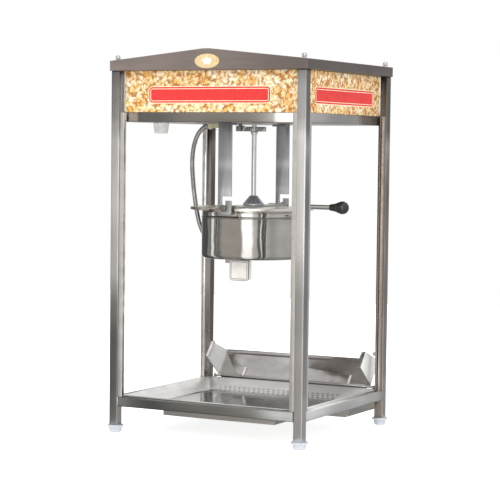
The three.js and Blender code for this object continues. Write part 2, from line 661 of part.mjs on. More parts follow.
function addFloor() {
  place('floor_pan', floorPanGeometry(), polished);
  place('floor_heater_box', trayGeometry({
    x0: -131, x1: 131, y0: -142, y1: DRAWER.y0 - 4, z0: DRAWER.z0, z1: FLOOR_Z - SHEET - GAP,
  }), brushed);
  place('kernel_drawer', trayGeometry(DRAWER), brushed);
  place('chute', chuteGeometry(), polished, [0, HINGE_Y, HINGE_Z], [-CHUTE_LEAN, 0, 0]);
}

addFrame();
addChannels();
addCanopy();
addDrive();
addKettle();
addFloor();

// Stand the whole cart with the middle of its underside at the origin.
const extent = new THREE.Box3().setFromObject(cart, true);
const middle = extent.getCenter(new THREE.Vector3());
cart.position.set(-middle.x, -middle.y, -extent.min.z);

export default cart;
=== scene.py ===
"""Looks of a table-top popcorn cart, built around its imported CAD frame.

Shapes are worked out in millimetres in the cart's own design frame, whose middle is the middle
of the four posts at floor height, and turned into the frame's metres when a mesh is made.
"""
import contextlib
import math

import bmesh
import bpy
from mathutils import Matrix, Vector


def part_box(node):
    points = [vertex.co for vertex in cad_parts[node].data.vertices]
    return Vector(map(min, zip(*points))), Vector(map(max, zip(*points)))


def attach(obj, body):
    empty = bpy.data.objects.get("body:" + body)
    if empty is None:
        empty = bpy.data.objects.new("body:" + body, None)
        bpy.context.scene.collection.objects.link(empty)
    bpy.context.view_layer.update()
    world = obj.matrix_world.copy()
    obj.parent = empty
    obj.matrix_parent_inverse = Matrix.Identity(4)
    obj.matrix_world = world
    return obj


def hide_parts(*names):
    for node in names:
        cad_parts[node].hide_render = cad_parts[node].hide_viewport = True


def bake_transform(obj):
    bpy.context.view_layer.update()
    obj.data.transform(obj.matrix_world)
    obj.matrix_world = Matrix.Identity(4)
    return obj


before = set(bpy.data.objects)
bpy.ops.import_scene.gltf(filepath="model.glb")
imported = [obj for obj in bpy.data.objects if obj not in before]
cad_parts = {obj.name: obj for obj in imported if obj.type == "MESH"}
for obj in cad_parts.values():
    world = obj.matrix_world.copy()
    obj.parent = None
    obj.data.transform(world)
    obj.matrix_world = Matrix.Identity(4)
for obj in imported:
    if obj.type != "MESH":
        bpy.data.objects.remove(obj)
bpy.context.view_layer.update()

# ---- the design frame ----
MM = 0.001
POST_LOW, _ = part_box("post_front_left")
_, POST_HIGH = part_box("post_back_right")
ORIGIN = Vector(((POST_LOW.x + POST_HIGH.x) / 2, (POST_LOW.y + POST_HIGH.y) / 2, 0.0))


def to_row(point):
    """A point in millimetres in the design frame, as metres in the row frame."""
    return ORIGIN + Vector(point) * MM


def box_mm(node):
    """Lowest and highest corner of a CAD node in the design frame, in millimetres."""
    low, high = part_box(node)
    return (low - ORIGIN) / MM, (high - ORIGIN) / MM


def middle_mm(node):
    """Middle of a CAD node's box in the design frame, in millimetres."""
    return tuple((a + b) / 2 for a, b in zip(*box_mm(node)))


def placed(name, data):
    """A new object in the scene that holds data."""
    obj = bpy.data.objects.new(name, data)
    bpy.context.scene.collection.objects.link(obj)
    return obj


# ---- camera ----
CAMERA_TURNS_DEG = (27.975, -3.225, 0.672)
CAMERA_SPOT = (1798.9, -3396.2, 597.5)
LENS_MM = 130.64
SENSOR_MM = 36.0


def add_camera():
    """Camera turned by yaw, pitch and roll from a level look along Y."""
    yaw, pitch, roll = (math.radians(a) for a in CAMERA_TURNS_DEG)
    forward = Vector((
        -math.sin(yaw) * math.cos(pitch), math.cos(yaw) * math.cos(pitch), math.sin(pitch)))
    level_right = Vector((math.cos(yaw), math.sin(yaw), 0.0))
    level_up = level_right.cross(forward)
    right = math.cos(roll) * level_right + math.sin(roll) * level_up
    up = math.cos(roll) * level_up - math.sin(roll) * level_right
    data = bpy.data.cameras.new("camera")
    data.lens = LENS_MM
    data.sensor_width = SENSOR_MM
    data.clip_end = 50.0
    camera = placed("camera", data)
    turn = Matrix((right, up, -forward)).transposed().to_4x4()
    camera.matrix_world = Matrix.Translation(to_row(CAMERA_SPOT)) @ turn
    bpy.context.scene.camera = camera


add_camera()


# ---- material helpers ----
def add_node(tree, kind, settings=None, **inputs):
    """A shader node with its settings and inputs; an input is a value or another node's output."""
    node = tree.nodes.new("ShaderNode" + kind)
    for key, value in (settings or {}).items():
        setattr(node, key, value)
    for key, value in inputs.items():
        connect(tree, node.inputs[key.replace("_", " ")], value)
    return node


def connect(tree, socket, value):
    if isinstance(value, bpy.types.NodeSocket):
        tree.links.new(value, socket)
    else:
        socket.default_value = value


def calculated(tree, operation, first, second):
    node = add_node(tree, "Math", {"operation": operation})
    connect(tree, node.inputs[0], first)
    connect(tree, node.inputs[1], second)
    return node.outputs[0]


def paint(tree, shader, colour, roughness):
    connect(tree, shader.inputs["Base Color"], colour)
    connect(tree, shader.inputs["Roughness"], roughness)


def new_material(name, **inputs):
    material = bpy.data.materials.new(name)
    material.use_nodes = True
    tree = material.node_tree
    shader = tree.nodes["Principled BSDF"]
    for key, value in inputs.items():
        shader.inputs[key.replace("_", " ")].default_value = value
    return material, tree, shader


def stretched(tree, scale, **noise):
    """Noise over the piece's own coordinates, in waves per metre: one number, or one per axis."""
    scale = scale if isinstance(scale, (tuple, list)) else (scale,) * 3
    place = add_node(tree, "TexCoord")
    mapping = add_node(tree, "Mapping", Vector=place.outputs["Object"], Scale=scale)
    made = add_node(tree, "TexNoise", Vector=mapping.outputs["Vector"], Scale=1.0, **noise)
    return made.outputs["Fac"]


def dimmed(colour, factor):
    return tuple(factor * c for c in colour)


def ramp(tree, factor, *stops, interpolation="LINEAR"):
    """Colour ramp; each stop is (position, colour), and a colour may be one grey number."""
    node = add_node(tree, "ValToRGB", Fac=factor)
    node.color_ramp.interpolation = interpolation
    elements = node.color_ramp.elements
    while len(elements) < len(stops):
        elements.new(0.5)
    for element, (position, colour) in zip(elements, stops):
        element.position = position
        shade = (colour,) * 3 if isinstance(colour, (int, float)) else colour
        element.color = (*shade, 1.0)
    return node.outputs["Color"]


def mixed(tree, factor, first, second, blend="MIX"):
    node = add_node(tree, "Mix", {"data_type": "RGBA", "blend_type": blend})
    connect(tree, node.inputs["Factor"], factor)
    for index, value in ((6, first), (7, second)):
        if isinstance(value, tuple) and len(value) == 3:
            value = (*value, 1.0)
        connect(tree, node.inputs[index], value)
    return node.outputs[2]


def spread(tree, value, low, high, start=0.0, end=1.0):
    """value, going from start to end, spread over low to high."""
    node = add_node(
        tree, "MapRange", Value=value, From_Min=start, From_Max=end, To_Min=low, To_Max=high)
    return node.outputs["Result"]


def faded(tree, value, start, end, first, second, blend="MIX"):
    """first, going over to second as value goes from start to end."""
    return mixed(tree, spread(tree, value, 0.0, 1.0, start, end), first, second, blend)


def add_bump(tree, shader, height, strength, distance_mm):
    bump = add_node(tree, "Bump", Height=height, Strength=strength, Distance=distance_mm * MM)
    connect(tree, shader.inputs["Normal"], bump.outputs["Normal"])


# ---- materials ----
def painted_light_along(tree, axis, *stops):
    """Painted light and shade: a grey that follows a piece along an axis and is multiplied into its
    colour; each stop is (millimetres, grey).
    """
    place = add_node(tree, "TexCoord")
    split = add_node(tree, "SeparateXYZ", Vector=place.outputs["Object"])
    first, last = stops[0][0], stops[-1][0]
    shift = ORIGIN["XYZ".index(axis)]
    far = spread(tree, split.outputs[axis], 0.0, 1.0, shift + first * MM, shift + last * MM)
    greys = [((at - first) / (last - first), grey) for at, grey in stops]
    return ramp(tree, far, *greys, interpolation="EASE")


def painted_shade_by_side(tree, front, side):
    """Painted shade by face: front on the faces that look along Y, side on those that look along X."""
    place = add_node(tree, "TexCoord")
    split = add_node(tree, "SeparateXYZ", Vector=place.outputs["Normal"])
    square = calculated(tree, "MULTIPLY", split.outputs["X"], split.outputs["X"])
    return mixed(tree, square, painted_light_along(tree, *front), painted_light_along(tree, *side))


def brushed_steel(
        name, along, tone=(0.60, 0.585, 0.565), rough=(0.24, 0.38), stretch=0.6,
        painted_light=None, side=None):
    """Stainless tube and sheet with a fine grain along one axis, and faint handling marks.

    An optional ramp along an axis multiplies painted light and shade into its colour; with side too, that
    ramp is for the faces along Y and side's ramp, painted shade, for those along X.
    """
    material, tree, shader = new_material(name, Metallic=1.0, Anisotropic=stretch)
    grain_scale = [9.0 if axis == along else 1100.0 for axis in "XYZ"]
    grain = stretched(tree, grain_scale, Detail=4.0, Roughness=0.7)
    streak_scale = [3.0 if axis == along else 160.0 for axis in "XYZ"]
    streaks = stretched(tree, streak_scale, Detail=3.0, Roughness=0.6)
    smudge = stretched(tree, (14.0, 14.0, 9.0), Detail=5.0, Roughness=0.55)
    dark = dimmed(tone, 0.80)
    light = tuple(min(1.0, 1.12 * c) for c in tone)
    body = faded(tree, grain, 0.3, 0.7, dark, light)
    streaked = mixed(tree, spread(tree, streaks, 0.0, 0.5, 0.35, 0.7), body, light)
    colour = mixed(tree, spread(tree, smudge, 0.0, 0.45, 0.52, 0.75), streaked, dark)
    # Painted light and shade, multiplied into the colour.
    if painted_light:
        painted_grey = painted_shade_by_side(tree, painted_light, side) if side else painted_light_along(tree, *painted_light)
        colour = mixed(tree, 1.0, colour, painted_grey, "MULTIPLY")
    paint(tree, shader, colour, spread(tree, smudge, *rough, 0.3, 0.7))
    add_bump(tree, shader, grain, 0.12, 0.25)
    tangent = add_node(tree, "Tangent", {"direction_type": "RADIAL", "axis": along})
    connect(tree, shader.inputs["Tangent"], tangent.outputs["Tangent"])
    return material


def polished_steel(
        name, tone=(0.74, 0.73, 0.71), rough=(0.05, 0.16), waves=0.35, wave_mm=60.0,
        painted_light=None, cloud=None, frost=None):
    """Mirror-finished sheet: long shallow dents, wiping marks and a few hair scratches.

    Two optional ramps, each along an axis, multiply painted light and shade into its colour, and frost
    adds roughness along one.
    """
    material, tree, shader = new_material(name, Metallic=1.0)
    per_metre = 1000.0 / wave_mm
    dents = stretched(tree, per_metre, Detail=1.5, Roughness=0.4)
    wipes = stretched(tree, (22.0, 22.0, 40.0), Detail=6.0, Roughness=0.6)
    hairs = stretched(tree, (700.0, 700.0, 18.0), Detail=2.0, Roughness=0.5)
    scratched = spread(tree, hairs, 0.0, 0.10, 0.62, 0.80)
    wiped = spread(tree, wipes, *rough, 0.35, 0.7)
    colour = faded(tree, wipes, 0.35, 0.65, tone, dimmed(tone, 0.86))
    # Painted light and shade ramps, multiplied into the colour.
    for painted_grey in (painted_light, cloud):
        if painted_grey:
            colour = mixed(tree, 1.0, colour, painted_light_along(tree, *painted_grey), "MULTIPLY")
    roughness = calculated(tree, "ADD", wiped, scratched)
    if frost:
        roughness = calculated(tree, "ADD", roughness, painted_light_along(tree, *frost))
    paint(tree, shader, colour, roughness)
    add_bump(tree, shader, dents, waves, 2.0)
    return material


def plastic(name, colour, rough, grain_per_metre=900.0, bump=0.10, **inputs):
    """Moulded plastic, enamel or fired clay: a faint mottle, a fine skin and uneven gloss."""
    material, tree, shader = new_material(name, **inputs)
    mottle = stretched(tree, 60.0, Detail=4.0, Roughness=0.6)
    skin = stretched(tree, grain_per_metre, Detail=3.0, Roughness=0.5)
    mottled = faded(tree, mottle, 0.35, 0.65, colour, dimmed(colour, 0.86))
    paint(tree, shader, mottled, spread(tree, mottle, rough * 0.8, rough * 1.25, 0.3, 0.7))
    add_bump(tree, shader, skin, bump, 0.3)
    return material


def cast_metal(name, colour, rough, metallic=0.9):
    """Sand-cast or painted housing metal with a pebbled skin."""
    material, tree, shader = new_material(name, Metallic=metallic)
    pebbles = stretched(tree, 500.0, Detail=6.0, Roughness=0.7)
    pebbled = faded(tree, pebbles, 0.3, 0.7, colour, dimmed(colour, 0.7))
    paint(tree, shader, pebbled, spread(tree, pebbles, rough * 0.85, rough * 1.2, 0.3, 0.7))
    add_bump(tree, shader, pebbles, 0.25, 0.4)
    return material


KERNELS_PER_METRE = 60.0
LOBES_PER_METRE = 135.0


def warped(tree, place, reach):
    """Coordinates pushed about by noise, by up to reach metres."""
    warp = add_node(tree, "TexNoise", Vector=place, Scale=90.0, Detail=3.0, Roughness=0.6)
    bent = add_node(tree, "VectorMath", {"operation": "MULTIPLY_ADD"})
    connect(tree, bent.inputs[0], warp.outputs["Color"])
    bent.inputs[1].default_value = (reach,) * 3
    connect(tree, bent.inputs[2], place)
    return bent.outputs["Vector"]


def popcorn_print():
    """Printed film: piled popped kernels, cream and butter yellow, with toasted creases."""
    material, tree, shader = new_material("popcorn_print", Roughness=0.32, Coat_Weight=0.25)
    place = add_node(tree, "TexCoord").outputs["Object"]
    where = warped(tree, place, 0.016)
    kernels = add_node(tree, "TexVoronoi", Vector=where, Scale=KERNELS_PER_METRE)
    edges = add_node(
        tree, "TexVoronoi", {"feature": "DISTANCE_TO_EDGE"}, Vector=where, Scale=KERNELS_PER_METRE)
    lobes = add_node(
        tree, "TexVoronoi", {"feature": "SMOOTH_F1"}, Vector=where, Scale=LOBES_PER_METRE,
        Smoothness=0.25)
    piles = add_node(tree, "TexNoise", Vector=place, Scale=42.0, Detail=2.0, Roughness=0.5)
    crumbs = add_node(tree, "TexNoise", Vector=place, Scale=130.0, Detail=4.0, Roughness=0.65)
    kernel_tone = ramp(
        tree, kernels.outputs["Color"],
        (0.0, (0.74, 0.46, 0.16)), (0.25, (0.84, 0.68, 0.38)), (0.45, (0.88, 0.86, 0.80)),
        (0.75, (0.88, 0.82, 0.62)), (1.0, (0.84, 0.68, 0.36)))
    folds = ramp(
        tree, lobes.outputs["Distance"],
        (0.0, 1.0), (0.36, (0.99, 0.94, 0.82)), (0.54, (0.88, 0.66, 0.36)), (0.76, (0.42, 0.19, 0.05)))
    folded = mixed(tree, 0.9, kernel_tone, folds, "MULTIPLY")
    buttered = faded(
        tree, piles.outputs["Fac"], 0.40, 0.62, folded, (0.90, 0.72, 0.44), "MULTIPLY")
    creased = spread(tree, edges.outputs["Distance"], 1.0, 0.0, 0.02, 0.14)
    uneven = spread(tree, crumbs.outputs["Fac"], 0.0, 1.0, 0.48, 0.58)
    some = calculated(tree, "MULTIPLY", creased, uneven)
    toasted = mixed(tree, some, buttered, (0.34, 0.13, 0.025))
    bright = spread(tree, crumbs.outputs["Fac"], 0.8, 0.0, 0.34, 0.44)
    lit = mixed(tree, bright, toasted, (0.92, 0.89, 0.82))
    connect(tree, shader.inputs["Base Color"], lit)
    add_bump(tree, shader, crumbs.outputs["Fac"], 0.03, 0.2)
    return material


def tinned(name, tone, rough, per_metre):
    """Plated wire, screws, gears and hose: metal with a worn, slightly cloudy surface."""
    material, tree, shader = new_material(name, Metallic=1.0)
    cloud = stretched(tree, per_metre, Detail=5.0, Roughness=0.6)
    clouded = faded(tree, cloud, 0.35, 0.65, tone, dimmed(tone, 0.62))
    paint(tree, shader, clouded, spread(tree, cloud, rough * 0.75, rough * 1.3, 0.3, 0.7))
    add_bump(tree, shader, cloud, 0.1, 0.2)
    return material


STEEL_X = brushed_steel("steel_grain_x", "X", tone=(0.52, 0.51, 0.49))
# A much lighter copy of the rail steel, for the side rails: painted light.
STEEL_Y = brushed_steel("steel_grain_y", "Y", tone=(0.95, 0.96, 0.93))
STEEL_Z = brushed_steel("steel_grain_z", "Z")
# Painted shade on the posts' side faces, a grey for each height up the post.
POST_SIDE_SHADE = ("Z", (0, 1.0), (90, 1.0), (120, 0.74), (200, 0.60), (300, 0.43), (400, 0.44), (500, 0.34),
             (560, 0.48), (600, 0.66), (640, 0.28), (760, 0.24))
# Lit and shaded copies of one post steel: each post has its own tone and its own painted light and shade
# up its height.
POST_STEEL = {
    "front_left": brushed_steel(
        "post_front_left", "Z", tone=(0.82, 0.81, 0.79), side=POST_SIDE_SHADE,
        painted_light=("Z", (0, 0.70), (66, 0.46), (100, 0.38), (200, 0.31), (260, 0.45), (340, 0.88), (400, 0.82),
              (480, 1.0), (600, 0.86), (640, 0.62), (660, 0.44), (700, 0.36), (760, 0.22))),
    "front_right": brushed_steel(
        "post_front_right", "Z", tone=(0.98, 0.96, 0.93), side=POST_SIDE_SHADE,
        painted_light=("Z", (0, 1.0), (66, 0.96), (130, 0.90), (200, 0.88), (250, 0.70), (300, 0.66), (350, 0.76),
              (400, 0.98), (470, 1.0), (620, 1.0), (645, 0.74), (660, 0.58), (710, 0.52), (760, 0.32))),
    "back_left": brushed_steel(
        "post_back_left", "Z", tone=(0.44, 0.41, 0.38), side=POST_SIDE_SHADE,
        painted_light=("Z", (0, 0.90), (150, 0.85), (300, 0.80), (400, 0.55), (500, 0.58), (560, 1.0), (600, 0.8),
              (628, 0.25), (760, 0.2))),
    "back_right": brushed_steel(
        "post_back_right", "Z", tone=(0.86, 0.78, 0.72), side=POST_SIDE_SHADE,
        painted_light=("Z", (0, 0.74), (200, 0.52), (300, 0.27), (500, 0.20), (600, 0.27), (650, 0.20),
              (760, 0.18))),
}
# Painted light: the front and back rails grow lighter from left to right.
RAIL_STEEL = brushed_steel(
    "rail_steel", "X", tone=(0.62, 0.63, 0.60),
    painted_light=("X", (-225, 0.36), (-60, 0.40), (20, 0.44), (100, 0.48), (225, 0.52)))
# Painted highlights at both ends of the front and back beams, with the middle darker.
BEAM_STEEL = brushed_steel(
    "beam_steel", "X", tone=(1.0, 0.90, 0.82),
    painted_light=("X", (-206, 1.0), (-172, 1.0), (-166, 0.42), (144, 0.38), (154, 0.72), (206, 0.72)))
BEAM_SIDE = brushed_steel("beam_side_steel", "Y", tone=(0.60, 0.59, 0.58))
# Painted shade: the roof sheet has a darker, browner tone and darkens from left to right.
ROOF_STEEL = brushed_steel(
    "roof_steel", "X", tone=(0.56, 0.49, 0.46), rough=(0.30, 0.40),
    painted_light=("X", (-227, 1.0), (0, 0.80), (227, 0.50)))
# Painted reflections: lighter and darker bands up the hanger plates and the shaft cover.
HANGER_STEEL = brushed_steel(
    "hanger_steel", "Z", tone=(0.66, 0.69, 0.72), rough=(0.30, 0.46), stretch=0.2,
    painted_light=("Z", (455, 0.80), (485, 0.84), (506, 1.0), (522, 0.80), (545, 0.72), (563, 1.0),
          (582, 0.74), (620, 0.66), (648, 0.56)))
POLISHED = polished_steel("polished_steel")
KETTLE_STEEL = polished_steel(
    "kettle_steel", tone=(0.57, 0.55, 0.52), rough=(0.02, 0.06), waves=0.6, wave_mm=45.0)
# Painted reflections: the pan's flat floor darker than its slopes, and a dark patch right of the middle;
# frost only adds roughness.
PAN_STEEL = polished_steel(
    "pan_steel", tone=(0.95, 0.94, 0.92), rough=(0.06, 0.16), waves=0.2, wave_mm=90.0,
    painted_light=("Z", (59.5, 0.38), (60.6, 0.42), (62.5, 0.95), (69.5, 0.90), (70.5, 0.96), (78.0, 1.0)),
    cloud=("X", (-205, 1.0), (-60, 1.0), (10, 0.95), (60, 0.62), (140, 0.60), (190, 0.95), (205, 1.0)),
    frost=("Z", (59.5, 0.0), (60.6, 0.02), (62.5, 0.26), (78.0, 0.30)))
# Lit and shaded copies of one lid steel: the left lid darker, the right lighter.
LID_STEEL = {
    side: polished_steel(
        f"lid_{side}_steel", tone=tone, rough=(0.26, 0.40), waves=0.2, wave_mm=70.0)
    for side, tone in (("left", (0.72, 0.66, 0.58)), ("right", (0.98, 0.93, 0.86)))
}
# Painted shade: the strap darker for about its last ten millimetres at each end.
BRIDGE_STEEL = polished_steel(
    "bridge_steel", tone=(0.72, 0.68, 0.62), rough=(0.26, 0.40), waves=0.2, wave_mm=70.0,
    painted_light=("Y", (-136, 0.42), (-126, 0.42), (-124, 0.9), (124, 0.9), (126, 0.42), (136, 0.42)))
# Painted reflection: a bright narrow band at the chute's left end, darker across the rest.
CHUTE_STEEL = polished_steel(
    "chute_steel", tone=(0.95, 0.91, 0.89), rough=(0.10, 0.24), waves=0.7, wave_mm=80.0,
    painted_light=("X", (-191, 1.0), (-186, 0.95), (-184, 0.62), (-100, 0.50), (0, 0.60), (120, 0.50),
          (191, 0.66)))
CHANNEL_STEEL = polished_steel("channel_steel", tone=(0.95, 0.94, 0.92), rough=(0.10, 0.2), waves=0.1)
# Painted shade: a darker, browner and rougher copy of the channel steel, for the back right glazing
# channel.
CHANNEL_SHADED = polished_steel(
    "channel_shaded_steel", tone=(0.56, 0.50, 0.45), rough=(0.16, 0.3), waves=0.1)
NYLON = plastic(
    "white_nylon", (0.52, 0.55, 0.59), 0.42, Subsurface_Weight=0.1, Subsurface_Scale=0.004)
CERAMIC = plastic("white_ceramic", (0.66, 0.64, 0.62), 0.18, bump=0.04, Coat_Weight=0.3)
BOX_WHITE = plastic("box_white", (0.78, 0.74, 0.71), 0.34, bump=0.05)
SATIN = plastic("satin_sheet", (0.84, 0.85, 0.83), 0.3, grain_per_metre=300.0, bump=0.06)
PHENOLIC = plastic("black_phenolic", (0.016, 0.016, 0.018), 0.13, bump=0.02, Coat_Weight=0.4)
BLACK_PLASTIC = plastic("black_plastic", (0.02, 0.02, 0.021), 0.38, bump=0.12)
BEIGE = plastic("wiring_box_paint", (0.42, 0.40, 0.26), 0.5, bump=0.08)
PRINT = popcorn_print()
BAND_RED = plastic("band_red", (0.66, 0.032, 0.030), 0.3, bump=0.02)
BAND_PALE = plastic("band_pale", (0.96, 0.80, 0.56), 0.35, bump=0.02)
BADGE_ENAMEL = plastic("badge_enamel", (0.66, 0.50, 0.26), 0.2, bump=0.02, Coat_Weight=0.4)
BADGE_KERNEL = plastic("badge_kernel", (0.95, 0.93, 0.86), 0.3, bump=0.1)
CAST = cast_metal("cast_housing", (0.34, 0.35, 0.36), 0.45)
MOTOR = cast_metal("motor_paint", (0.06, 0.07, 0.075), 0.5, metallic=0.2)
GEAR = tinned("gear_steel", (0.58, 0.57, 0.55), 0.3, 120.0)
CONDUIT = tinned("cable_conduit", (0.60, 0.60, 0.58), 0.28, 90.0)
ZINC = tinned("zinc_fastener", (0.70, 0.70, 0.70), 0.24, 300.0)
BRASS = tinned("brass_contact", (0.78, 0.58, 0.25), 0.25, 200.0)


# ---- mesh helpers ----
def finish_piece(obj, material, body, replaces=()):
    obj.data.materials.clear()
    obj.data.materials.append(material)
    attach(obj, body)
    if replaces:
        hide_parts(*replaces)
    return obj


@contextlib.contextmanager
def editing(mesh):
    """A mesh opened for bmesh's operators, and written back at the end."""
    made = bmesh.new()
    made.from_mesh(mesh)
    yield made
    made.to_mesh(mesh)
    made.free()


def clean(mesh, merge):
    """Merges points closer than merge and turns every face outward."""
    with editing(mesh) as made:
        bmesh.ops.remove_doubles(made, verts=made.verts, dist=merge)
        bmesh.ops.recalc_face_normals(made, faces=made.faces)


def evaluated_mesh(obj):
    """A new mesh that holds an object's shape with its modifiers applied."""
    seen = obj.evaluated_get(bpy.context.evaluated_depsgraph_get())
    return bpy.data.meshes.new_from_object(seen)


def new_object(name, points, faces, sharp_deg=32.0):
    """Mesh object from points in design millimetres, smooth but for edges over sharp_deg."""
    mesh = bpy.data.meshes.new(name)
    mesh.from_pydata([to_row(p) for p in points], [], faces)
    clean(mesh, 0.02 * MM)
    mesh.shade_smooth()
    mesh.set_sharp_from_angle(angle=math.radians(sharp_deg))
    return placed(name, mesh)


def add_bevel(obj, width_mm, segments=2, limit_deg=32.0):
    """Rounds a piece's hard edges; its flats stay flat."""
    obj.data.shade_smooth()
    for edge in obj.data.edges:
        edge.use_edge_sharp = False
    bevel = obj.modifiers.new("rounded_edges", "BEVEL")
    bevel.width = width_mm * MM
    bevel.segments = segments
    bevel.limit_method = "ANGLE"
    bevel.angle_limit = math.radians(limit_deg)
    bevel.harden_normals = True
    bevel.use_clamp_overlap = True
    return obj


def refined(node, name, material, body, bevel_mm, segments=2, limit_deg=32.0):
    """A CAD node's own shape as a new piece: flats merged, hard edges rounded."""
    obj = placed(name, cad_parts[node].data.copy())
    flat = math.radians(0.6)
    with editing(obj.data) as made:
        bmesh.ops.remove_doubles(made, verts=made.verts, dist=0.005 * MM)
        bmesh.ops.dissolve_limit(made, angle_limit=flat, verts=made.verts, edges=made.edges)
    add_bevel(obj, bevel_mm, segments, limit_deg)
    return finish_piece(obj, material, body, [node])


def joined(name, objects):
    """Several loose objects as one, for a group of small pieces."""
    for other in objects[1:]:
        with editing(objects[0].data) as made:
            made.from_mesh(other.data)
        bpy.data.objects.remove(other)
    objects[0].name = name
    return objects[0]


def arc(cx, cy, radius, start_deg, end_deg, steps):
    """Points on an arc, both ends included."""
    turns = [math.radians(start_deg + (end_deg - start_deg) * i / steps) for i in range(steps + 1)]
    return [(cx + radius * math.cos(a), cy + radius * math.sin(a)) for a in turns]


def rounded_rectangle(x0, x1, y0, y1, radius, steps=4):
    corners = [(x1 - radius, y0 + radius, -90), (x1 - radius, y1 - radius, 0),
               (x0 + radius, y1 - radius, 90), (x0 + radius, y0 + radius, 180)]
    outline = []
    for cx, cy, start in corners:
        outline += arc(cx, cy, radius, start, start + 90, steps)
    return outline


def along_axis(axis, u, v, w):
    """A point from two coordinates across an axis and one along it."""
    return {"X": (w, u, v), "Y": (u, w, v), "Z": (u, v, w)}[axis]


def between(a, b):
    """Four-sided faces that join two rings of equal length."""
    count = len(a)
    return [(a[i], a[(i + 1) % count], b[(i + 1) % count], b[i]) for i in range(count)]


def swept_rings(rings, closed=False):
    """Faces that join rings of equal length, each ring a loop of point indices."""
    nexts = rings[1:] + rings[:1] if closed else rings[1:]
    return [face for a, b in zip(rings, nexts) for face in between(a, b)]


def loops(*outlines):
    """Points and index rings for a list of outlines of 3-D points."""
    points, rings = [], []
    for outline in outlines:
        rings.append(list(range(len(points), len(points) + len(outline))))
        points += outline
    return points, rings


TUBE_WALL = 1.2
TUBE_CORNER = {"post": 2.2, "rail": 2.2, "beam": 1.6}


def square_tube(name, low, high, axis, corner):
    """Hollow square tube with rounded corners, filling a box in design millimetres."""
    across = [i for i in range(3) if i != "XYZ".index(axis)]
    u0, v0 = low[across[0]], low[across[1]]
    u1, v1 = high[across[0]], high[across[1]]
    ends = low["XYZ".index(axis)], high["XYZ".index(axis)]
    outer = rounded_rectangle(u0, u1, v0, v1, corner)
    wall = TUBE_WALL
    inner = rounded_rectangle(u0 + wall, u1 - wall, v0 + wall, v1 - wall, corner - wall)
    edge = 0.25
    slim = rounded_rectangle(u0 + edge, u1 - edge, v0 + edge, v1 - edge, corner - edge)
    sections = [(outer, ends[0] + edge), (outer, ends[1] - edge), (slim, ends[1]), (inner, ends[1]),
                (inner, ends[0]), (slim, ends[0])]
    points, rings = loops(*[
        [along_axis(axis, u, v, w) for u, v in outline] for outline, w in sections])
    return new_object(name, points, swept_rings(rings, closed=True), sharp_deg=50.0)


def lathe(name, profile, centre, axis="Z", steps=72, sharp_deg=32.0):
    """Profile of (radius, along) turned about an axis through centre; closes onto the axis."""
    points, rings = [], []
    cx, cy, cz = centre
    for radius, along in profile:
        if radius < 1e-6:
            rings.append([len(points)])
            points.append(tuple(Vector(along_axis(axis, 0.0, 0.0, along)) + Vector((cx, cy, cz))))
            continue
        rings.append(list(range(len(points), len(points) + steps)))
        for i in range(steps):
            a = 2 * math.pi * i / steps
            spot = along_axis(axis, radius * math.cos(a), radius * math.sin(a), along)
            points.append(tuple(Vector(spot) + Vector((cx, cy, cz))))
    faces = []
    for a, b in zip(rings, rings[1:]):
        faces += lathe_band(a, b, steps)
    if len(rings[0]) > 1 and len(rings[-1]) > 1:
        faces += lathe_band(rings[-1], rings[0], steps)
    return new_object(name, points, faces, sharp_deg)


def lathe_band(a, b, steps):
    if len(a) == 1 and len(b) == 1:
        return []
    if len(a) == 1:
        return [(a[0], b[(i + 1) % steps], b[i]) for i in range(steps)]
    if len(b) == 1:
        return [(a[i], a[(i + 1) % steps], b[0]) for i in range(steps)]
    return between(a, b)


def prism(name, outline, axis, start, end):
    """Solid with one flat outline, pulled along an axis."""
    points, rings = loops(*[[along_axis(axis, u, v, w) for u, v in outline] for w in (start, end)])
    faces = swept_rings(rings) + [tuple(rings[0]), tuple(rings[1])]
    return new_object(name, points, faces)


def rod(radius, start, stop, chamfer=0.3):
    """Profile of a round rod from start to stop, its two ends chamfered."""
    slim = radius - chamfer
    return [(0.0, start), (slim, start), (radius, start + chamfer), (radius, stop - chamfer),
            (slim, stop), (0.0, stop)]


def rounded_block(name, x0, x1, y0, y1, z0, z1, bevel_mm=0.5):
    """Small block with rounded edges."""
    obj = prism(name, [(x0, y0), (x1, y0), (x1, y1), (x0, y1)], "Z", z0, z1)
    return add_bevel(obj, bevel_mm)


def smooth_path(route):
    """Catmull-Rom curve through given points."""
    per_step = 12
    spots = [Vector(p) for p in route]
    ends = [2 * spots[0] - spots[1]] + spots + [2 * spots[-1] - spots[-2]]
    path = []
    for a, b, c, d in zip(ends, ends[1:], ends[2:], ends[3:]):
        for i in range(per_step):
            t = i / per_step
            path.append(0.5 * (2 * b + (c - a) * t + (2 * a - 5 * b + 4 * c - d) * t * t
                               + (3 * b - a - 3 * c + d) * t ** 3))
    return path + [spots[-1]]


def evenly(path, spacing):
    """The same path with points at one spacing."""
    made, ahead = [path[0]], spacing
    for a, b in zip(path, path[1:]):
        length = (b - a).length
        while ahead <= length:
            made.append(a.lerp(b, ahead / length))
            ahead += spacing
        ahead -= length
    return made + [path[-1]]


def tube_along(name, path, radius_at, sides=18):
    """Tube along a path; radius_at gives the radius at each point's number."""
    side = Vector((0.0, 1.0, 0.0))
    outlines = []
    for i, spot in enumerate(path):
        ahead = (path[min(i + 1, len(path) - 1)] - path[max(i - 1, 0)]).normalized()
        side = (side - ahead * side.dot(ahead)).normalized()
        over = ahead.cross(side)
        radius = radius_at(i)
        turns = [2 * math.pi * k / sides for k in range(sides)]
        outlines.append([
            tuple(spot + radius * (math.cos(a) * side + math.sin(a) * over)) for a in turns])
    points, rings = loops(*outlines)
    faces = swept_rings(rings) + [tuple(rings[0]), tuple(rings[-1])]
    return new_object(name, points, faces, sharp_deg=60.0)


